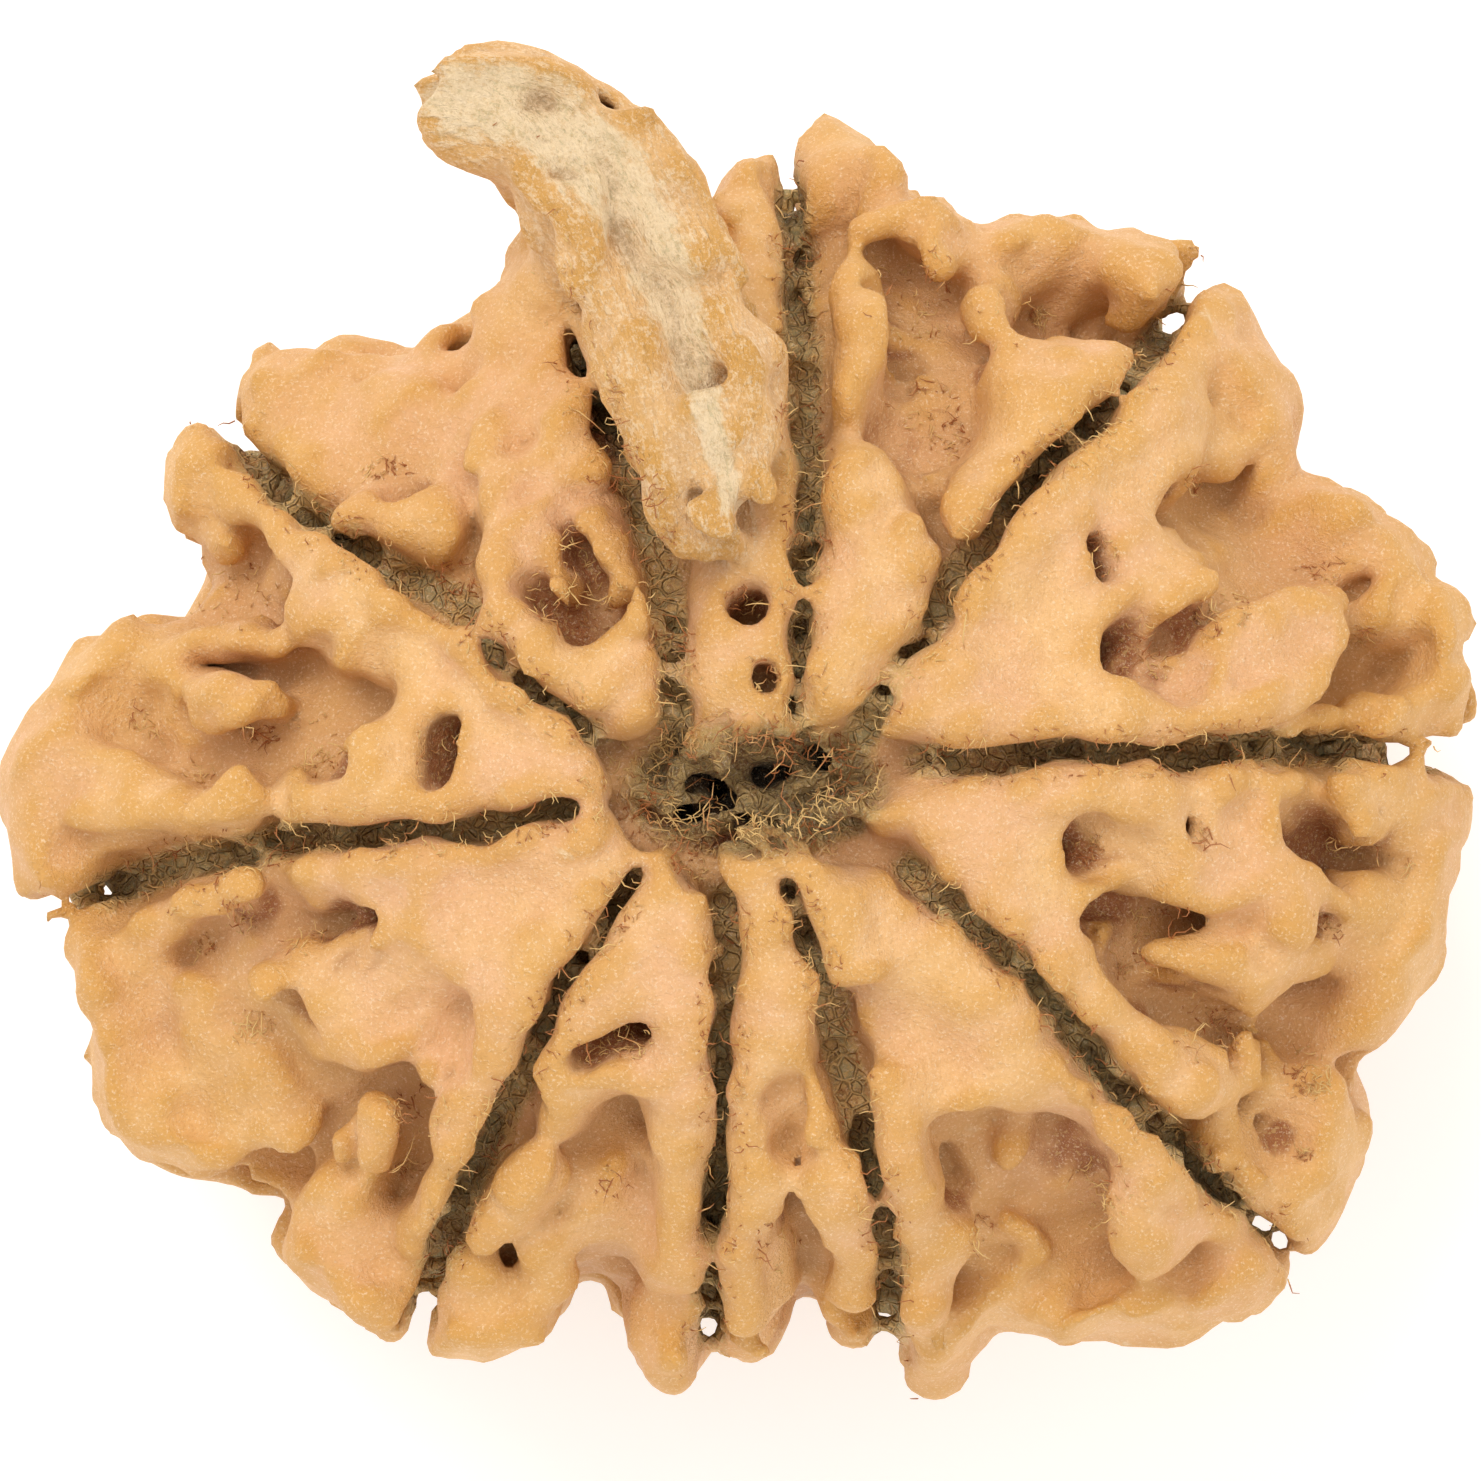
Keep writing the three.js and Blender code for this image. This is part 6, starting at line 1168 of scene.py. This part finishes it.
def skin_material(look):
    nodes = Nodes("seed_skin")
    place = in_millimetres(nodes)
    crest, hollow = nodes.attribute("crest"), nodes.attribute("hollow")
    above, groove = nodes.attribute("above"), nodes.attribute("groove")
    stain, pale = nodes.attribute("stain"), nodes.attribute("pale")
    trunk = nodes.attribute("trunk")
    core, reach = nodes.attribute("core"), nodes.attribute("reach")
    cloud = nodes.noise(place, 0.3, 3.0)
    patch = nodes.noise(place, 0.85, 4.0, 0.6)
    mottle = nodes.noise(place, 2.4, 4.0, 0.6)
    grain = nodes.noise(place, 8.0, 4.0, 0.75)
    speck = nodes.noise(place, 15.0, 3.0, 0.8)

    colour = nodes.mix(cloud.step(0.38, 0.62), look.flesh, look.blush)
    colour = nodes.mix((reach + (patch - 0.5) * 1.2).step(0.5, 1.0) * 0.4, colour, look.ochre)
    # Painted shade: the lower levels are darkened towards brown because they lie lower and face away
    # from the light
    colour = nodes.mix(above.step(-0.5, -1.8) * 0.4, colour, look.painted_shade)
    colour = nodes.mix((crest + (patch - 0.5) * 0.2).step(-0.02, 0.16) * 0.75, colour, look.ochre)
    colour = nodes.mix(mottle.step(0.42, 0.72) * 0.35, colour, look.honey)
    # Painted shade: deep hollows are darkened towards umber where shade falls
    colour = nodes.mix(hollow.step(0.14, 0.34) * 0.4, colour, look.umber_and_crevice_shade)

    cells = nodes.wire("ShaderNodeTexVoronoi", "Distance", {"feature": "DISTANCE_TO_EDGE"},
                       {"Vector": place, "Scale": 3.2, "Randomness": 1.0})
    rib = (cells + (grain - 0.5) * 0.2).step(0.14, 0.02)
    floor = nodes.mix((patch + (mottle - 0.5) * 0.8).step(0.4, 0.6), look.moss, look.umber_and_crevice_shade)
    floor = nodes.mix(rib * 0.7, floor, look.straw)
    lining = nodes.attribute("lining") * above.step(-0.45, -0.95) * (1 - trunk)
    colour = nodes.mix(lining * 0.9, colour, floor)
    crumb = ((nodes.attribute("lining").step(0.0, 0.4) * above.step(-0.15, -0.6)) + core) * (1 - trunk)
    colour = nodes.mix(crumb * (grain + mottle * 0.6).step(0.72, 0.86) * 0.75, colour, look.straw)
    colour = nodes.mix(core * (grain + mottle * 0.6).step(0.78, 0.62) * 0.75, colour, look.umber_and_crevice_shade)
    # Painted shadow: the deep inside of the central opening is painted near black
    colour = nodes.mix(core * above.step(-1.7, -2.8) * 0.92, colour, look.painted_hole_shadow)
    resin = (stain + (patch - 0.5) * 0.9).step(0.4, 0.8) * (hollow - crest).step(-0.1, 0.16)
    colour = nodes.mix(resin * 0.85, colour, look.resin)
    colour = nodes.mix(resin * grain.step(0.52, 0.62) * 0.6, colour, look.straw)

    strand = nodes.wire("ShaderNodeCombineXYZ", "Vector", None,
                        {"X": nodes.attribute("across") * 1.4, "Y": nodes.attribute("along") * 0.35,
                         "Z": above * 0.7})
    streak = nodes.noise(strand, 1.0, 5.0, 0.7)
    fine_streak = nodes.noise(strand, 5.0, 4.0, 0.75)
    bark = nodes.mix((streak + (patch - 0.5) * 0.5).step(0.42, 0.56), look.tan, look.flesh)
    bark = nodes.mix((crest + (patch - 0.5) * 0.3).step(0.0, 0.14) * 0.85, bark, look.ochre)
    colour = nodes.mix(trunk * 0.9, colour, bark)
    whole_pale = (pale + (streak - 0.5) * 1.8 + (mottle - 0.5) * 1.2
                  + (fine_streak - 0.5) * 0.9).step(0.3, 0.85)
    colour = nodes.mix(whole_pale * 0.7, colour, look.cream)
    colour = nodes.mix(pale * (fine_streak + (grain - 0.5) * 0.5).step(0.46, 0.36) * 0.4, colour,
                       look.moss)
    # Painted shade: the outgrowth's furrows and hollows are darkened towards umber
    colour = nodes.mix(trunk * (crest + (grain - 0.5) * 0.1).step(-0.06, -0.2) * 0.4, colour,
                       look.umber_and_crevice_shade)
    # Painted glints: pale flecks on the outgrowth stand in for tiny highlights
    colour = nodes.mix(trunk * (fine_streak + grain).step(1.0, 1.15) * 0.5, colour, look.painted_glint)

    # Painted glints: fine pale specks over the skin stand in for tiny highlights
    colour = nodes.mix(speck.step(0.54, 0.66) * 0.6, colour, look.painted_glint)
    colour = nodes.mix((grain + (speck - 0.5) * 0.6).step(0.48, 0.3) * 0.32, colour, look.honey)

    height = (grain * 0.5 + speck * 0.4 + mottle * 0.8 + lining * rib * 1.2 + core * grain * 3.0
              + trunk * (streak * 2.0 + fine_streak * 1.6))
    bump = nodes.wire("ShaderNodeBump", "Normal", None,
                      {"Height": height, "Distance": look.bump * MM, "Strength": 1.0})
    rough = 0.46 + grain * 0.16 + lining * 0.3 + trunk * 0.2
    return nodes.finish(Base_Color=colour, Roughness=rough, Normal=bump)


def fibre_material(look):
    nodes = Nodes("seed_fibre")
    place = in_millimetres(nodes)
    tone = nodes.noise(place, 0.9, 2.0)
    fleck = nodes.noise(place, 5.0, 2.0)
    colour = nodes.mix((tone + (fleck - 0.5) * 0.5).step(0.4, 0.62), look.straw, look.rust)
    bump = nodes.wire("ShaderNodeBump", "Normal", None,
                      {"Height": fleck, "Distance": 0.01 * MM, "Strength": 0.6})
    return nodes.finish(Base_Color=colour, Roughness=0.5 + fleck * 0.25, Normal=bump)


def floor_material(look):
    nodes = Nodes("studio_floor")
    place = in_millimetres(nodes)
    tone = nodes.noise(place, 0.02, 2.0)
    colour = nodes.mix(tone, look.floor, look.floor)
    return nodes.finish(Base_Color=colour, Roughness=0.9, Emission_Color=colour,
                        Emission_Strength=look.floor_glow)


def top_heights(form):
    """The height of the form's topmost surface over each place of the plan."""
    solid = form.value < 0
    size = solid.shape[2]
    top = size - 1 - np.argmax(solid[:, :, ::-1], axis=2)
    i, j = np.indices(top.shape)
    inner, outer = form.value[i, j, top], form.value[i, j, np.minimum(top + 1, size - 1)]
    share = np.clip(-inner / np.maximum(outer - inner, 1e-6), 0, 1)
    heights = form.axes[2][top] + form.cell * share
    return np.where(solid.any(axis=2), heights, GRID_LOW[2])


class FibreLayer:
    """Lays thin curved strands over the form's upper surface."""

    def __init__(self, form, settings):
        self.form = form
        self.settings = settings
        self.tops = top_heights(form)
        self.draw = np.random.default_rng(settings.seed)
        self.curve = bpy.data.curves.new("fibres", "CURVE")
        self.curve.dimensions = "3D"
        self.curve.bevel_depth = settings.thickness / 2
        self.curve.bevel_resolution = 0
        self.curve.resolution_u = 1

    def height(self, x, y):
        i = int(round((x - GRID_LOW[0]) / self.form.cell))
        j = int(round((y - GRID_LOW[1]) / self.form.cell))
        i, j = min(max(i, 0), self.tops.shape[0] - 1), min(max(j, 0), self.tops.shape[1] - 1)
        return float(self.tops[i, j])

    def strand(self, x, y, turn, length, lift=0.25, curl=0.9):
        """One strand that leaves the surface at a place, in a direction."""
        draw = self.draw
        z = self.height(x, y)
        if z <= 0:
            return
        points = [(x, y, z - 0.12)]
        climb = draw.uniform(0.1, 0.6)
        pieces = 3
        for _ in range(pieces):
            x += math.cos(turn) * length / pieces
            y += math.sin(turn) * length / pieces
            z += climb * length / pieces
            z = min(max(z, self.height(x, y) + 0.03), self.height(points[0][0], points[0][1]) + lift)
            points.append((x, y, z))
            turn += draw.normal(0, curl)
            climb -= draw.uniform(0.1, 0.5)
        spline = self.curve.splines.new("POLY")
        spline.points.add(len(points) - 1)
        for k, (point, at) in enumerate(zip(spline.points, points)):
            place = (np.array(at) + AXIS_PLACE) * MM
            thick = self.settings.thickness
            point.co = (*np.clip(place, np.array(CAD_BOX[0]) + thick, np.array(CAD_BOX[1]) - thick), 1)
            point.radius = 1 - 0.65 * (k / pieces) ** 2

    def along_grooves(self, count):
        lines = [smooth_line(plan, 6, False) for plan in GROOVES]
        lengths = np.array([np.linalg.norm(np.diff(line, axis=0), axis=1).sum() for line in lines])
        for pick in self.draw.choice(len(lines), count, p=lengths / lengths.sum()):
            line = lines[pick]
            at = min(self.draw.beta(1.0, 1.25), 0.999) * (len(line) - 1)
            i = int(at)
            a, b = line[i], line[i + 1]
            along = math.atan2(b[1] - a[1], b[0] - a[0])
            side = self.draw.choice((-1, 1))
            x, y = a + (b - a) * (at - i)
            off = self.draw.uniform(0.18, 0.55) * side
            x, y = x - math.sin(along) * off, y + math.cos(along) * off
            turn = along - side * math.pi / 2 + self.draw.normal(0, 0.9)
            self.strand(x, y, turn, self.draw.gamma(3, 0.075), lift=0.08)

    def in_pits(self, count):
        for pick in self.draw.integers(0, len(PITS) + len(STAINS), count):
            if pick < len(PITS):
                x1, y1, x2, y2, reach = PITS[pick][:5]
            else:
                x1, y1, reach = STAINS[pick - len(PITS)]
                x2, y2, reach = x1, y1, reach * 0.6
            t = self.draw.uniform()
            turn = self.draw.uniform(0, 2 * math.pi)
            off = reach * self.draw.uniform(0.7, 1.15)
            x, y = lerp(x1, x2, t) + math.cos(turn) * off, lerp(y1, y2, t) + math.sin(turn) * off
            self.strand(x, y, turn + math.pi + self.draw.normal(0, 0.9),
                        self.draw.gamma(3, 0.09), lift=0.1)

    def round_centre(self, count):
        for _ in range(count):
            turn = self.draw.uniform(0, 2 * math.pi)
            reach = self.draw.uniform(0.7, 1.25)
            x, y = 2.2 * reach * math.cos(turn), 1.25 * reach * math.sin(turn)
            self.strand(x, y, turn + math.pi + self.draw.normal(0, 1.0),
                        self.draw.gamma(2, 0.17), lift=0.12)


def add_object(name, data, material):
    made = bpy.data.objects.new(name, data)
    bpy.context.scene.collection.objects.link(made)
    data.materials.append(material)
    return made


def colour(name, text, red, green, blue):
    """A colour setting, given in the screen's steps of 0 to 255."""
    return bpy.props.FloatVectorProperty(
        name=name, description=text, subtype="COLOR", size=3, min=0, max=1,
        default=[to_linear(v / 255) for v in (red, green, blue)])


def to_linear(value):
    return value / 12.92 if value <= 0.04045 else ((value + 0.055) / 1.055) ** 2.4


class SeedForm(bpy.types.PropertyGroup):
    """How finely the seed is grown."""
    cell: bpy.props.FloatProperty(
        name="Cell", description="Spacing of the grid the form is sampled on, in millimetres",
        default=0.17, min=0.1, max=0.6)
    ripple: bpy.props.FloatProperty(
        name="Ripple", description="Height of the skin's fine unevenness, in millimetres",
        default=0.06, min=0, max=0.3)
    triangles: bpy.props.IntProperty(
        name="Triangles", description="Triangles left in the skin", default=190000, min=10000)


class SeedLook(bpy.types.PropertyGroup):
    """The skin's and fibres' colours, with the skin's painted shade, painted shadow and painted
    glints.
    """
    flesh: colour("Flesh", "Plateaus of the skin", 236, 186, 124)
    blush: colour("Blush", "Pinker patches of the skin", 232, 178, 128)
    honey: colour("Honey", "Warm mottling", 214, 160, 92)
    ochre: colour("Ochre", "Crests and finger tips", 216, 156, 68)
    # Painted shade laid on the lower levels of the skin
    painted_shade: colour("Shade", "Lower levels of the skin", 194, 138, 80)
    # Umber is the brown lining's own colour and also painted shade in deep hollows and the outgrowth's
    # furrows
    umber_and_crevice_shade: colour("Umber", "Deep hollows and brown lining", 140, 94, 52)
    moss: colour("Moss", "Grey-green lining of the grooves", 172, 160, 114)
    # Painted shadow inside the central opening
    painted_hole_shadow: colour("Night", "Inside of the central opening", 40, 30, 20)
    tan: colour("Tan", "Sides of the outgrowth", 226, 178, 122)
    resin: colour("Resin", "Stains in and round the pits", 150, 80, 38)
    cream: colour("Cream", "Crest of the outgrowth", 242, 220, 180)
    # Painted glints: pale specks that stand in for tiny highlights on the skin
    painted_glint: colour("Bloom", "Pale dust on the skin", 250, 222, 182)
    straw: colour("Straw", "Pale fibres", 216, 178, 112)
    rust: colour("Rust", "Red-brown fibres", 166, 100, 50)
    floor: colour("Floor", "The studio floor", 247, 246, 244)
    floor_glow: bpy.props.FloatProperty(
        name="Floor glow", description="Light that the studio floor gives off", default=0.25, min=0)
    bump: bpy.props.FloatProperty(
        name="Bump", description="Height of the skin's grain, in millimetres", default=0.12, min=0)


class SeedFibres(bpy.types.PropertyGroup):
    """The thin strands in the grooves, pits and centre."""
    in_grooves: bpy.props.IntProperty(
        name="In grooves", description="Strands along the grooves", default=1900, min=0)
    in_pits: bpy.props.IntProperty(
        name="In pits", description="Strands in the pits and stains", default=1700, min=0)
    in_centre: bpy.props.IntProperty(
        name="In centre", description="Strands round the central opening", default=330, min=0)
    thickness: bpy.props.FloatProperty(
        name="Thickness", description="Thickness of a strand", default=0.032 * MM, min=0,
        unit="LENGTH", precision=6)
    seed: bpy.props.IntProperty(name="Seed", description="Draws another tangle", default=11)


class SeedStage(bpy.types.PropertyGroup):
    """The floor, lights and camera."""
    floor_size: bpy.props.FloatProperty(
        name="Floor size", description="Side of the floor", default=3.0, unit="LENGTH")
    key_power: bpy.props.FloatProperty(
        name="Key power", description="Power of the main soft light", default=1.3, unit="POWER")
    fill_power: bpy.props.FloatProperty(
        name="Fill power", description="Power of the opposite soft light", default=0.35,
        unit="POWER")
    sky: bpy.props.FloatProperty(
        name="Sky", description="Strength of the even light from all round", default=0.96, min=0)
    camera_height: bpy.props.FloatProperty(
        name="Camera height", description="Height of the camera over the floor", default=1.2,
        unit="LENGTH")


class SEED_OT_grow_skin(bpy.types.Operator):
    """Grow the seed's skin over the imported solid"""
    bl_idname = "seed.grow_skin"
    bl_label = "Grow the skin"

    def execute(self, context):
        settings = context.scene.seed_form
        form = grown_form(settings.cell, settings.ripple)
        mesh = thin_mesh(skin_mesh(form), settings.triangles)
        mark_skin(mesh, form)
        place_on_axis(mesh)
        mesh.shade_smooth()
        skin = add_object("seed_skin", mesh, skin_material(context.scene.seed_look))
        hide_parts("seed")
        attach(skin, "root")
        return {"FINISHED"}


class SEED_OT_lay_fibres(bpy.types.Operator):
    """Lay the thin fibres in the grooves, pits and centre"""
    bl_idname = "seed.lay_fibres"
    bl_label = "Lay the fibres"

    def execute(self, context):
        settings = context.scene.seed_fibres
        shape = context.scene.seed_form
        layer = FibreLayer(grown_form(shape.cell, shape.ripple), settings)
        layer.along_grooves(settings.in_grooves)
        layer.in_pits(settings.in_pits)
        layer.round_centre(settings.in_centre)
        fibres = add_object("fibres", layer.curve, fibre_material(context.scene.seed_look))
        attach(fibres, "root")
        return {"FINISHED"}


class SEED_OT_set_stage(bpy.types.Operator):
    """Set the floor, the soft lights and the camera"""
    bl_idname = "seed.set_stage"
    bl_label = "Set the stage"

    def execute(self, context):
        settings = context.scene.seed_stage
        bm = bmesh.new()
        bmesh.ops.create_grid(bm, x_segments=1, y_segments=1, size=settings.floor_size / 2)
        mesh = bpy.data.meshes.new("floor")
        bm.to_mesh(mesh)
        bm.free()
        add_object("floor", mesh, floor_material(context.scene.seed_look))
        add_light("key", (-0.12, 0.24, 0.46), 0.30, settings.key_power)
        add_light("fill", (0.25, -0.30, 0.35), 0.45, settings.fill_power)
        world = bpy.data.worlds.new("studio")
        world.use_nodes = True
        background = world.node_tree.nodes["Background"]
        background.inputs["Color"].default_value = (1, 1, 1, 1)
        background.inputs["Strength"].default_value = settings.sky
        context.scene.world = world
        add_camera(settings.camera_height)
        context.scene.view_settings.view_transform = "Standard"
        return {"FINISHED"}


def add_light(name, place, size, power):
    light = bpy.data.lights.new(name, "AREA")
    light.shape = "DISK"
    light.size = size
    light.energy = power
    made = bpy.data.objects.new(name, light)
    made.location = place
    made.rotation_euler = (-made.location).to_track_quat("-Z", "Y").to_euler()
    bpy.context.scene.collection.objects.link(made)


def add_camera(height):
    """Looks straight down, with the photograph's frame at the level of the seed's rim."""
    camera = bpy.data.cameras.new("camera")
    wide = PHOTO_SIZE / PHOTO_PIXELS_PER_MM * MM
    camera.sensor_width = 36.0
    camera.lens = camera.sensor_width * (height - AXIS_PLACE[2] * MM) / wide
    camera.clip_start = 0.01
    camera.clip_end = 10
    made = bpy.data.objects.new("camera", camera)
    middle = PHOTO_SIZE / 2
    x = (middle - PHOTO_AXIS[0]) / PHOTO_PIXELS_PER_MM + AXIS_PLACE[0]
    y = (PHOTO_AXIS[1] - middle) / PHOTO_PIXELS_PER_MM + AXIS_PLACE[1]
    made.location = (x * MM, y * MM, height)
    bpy.context.scene.collection.objects.link(made)
    bpy.context.scene.camera = made


class SEED_PT_panel(bpy.types.Panel):
    """Lists the seed's steps and settings"""
    bl_idname = "SEED_PT_panel"
    bl_label = "Rudraksha seed"
    bl_space_type = "VIEW_3D"
    bl_region_type = "UI"
    bl_category = "Seed"

    def draw(self, context):
        for operator in OPERATORS:
            self.layout.operator(operator.bl_idname)
        for name in SETTINGS:
            group = getattr(context.scene, name)
            box = self.layout.box()
            for key in group.__annotations__:
                box.prop(group, key)


OPERATORS = (SEED_OT_grow_skin, SEED_OT_lay_fibres, SEED_OT_set_stage)
SETTINGS = {"seed_form": SeedForm, "seed_look": SeedLook, "seed_fibres": SeedFibres,
            "seed_stage": SeedStage}


def register():
    for kind in (*SETTINGS.values(), *OPERATORS, SEED_PT_panel):
        bpy.utils.register_class(kind)
    for name, kind in SETTINGS.items():
        setattr(bpy.types.Scene, name, bpy.props.PointerProperty(type=kind))


def unregister():
    for name in SETTINGS:
        delattr(bpy.types.Scene, name)
    for kind in reversed((*SETTINGS.values(), *OPERATORS, SEED_PT_panel)):
        bpy.utils.unregister_class(kind)


def main():
    register()
    for operator in OPERATORS:
        group, name = operator.bl_idname.split(".")
        getattr(getattr(bpy.ops, group), name)()


if __name__ == "__main__":
    main()
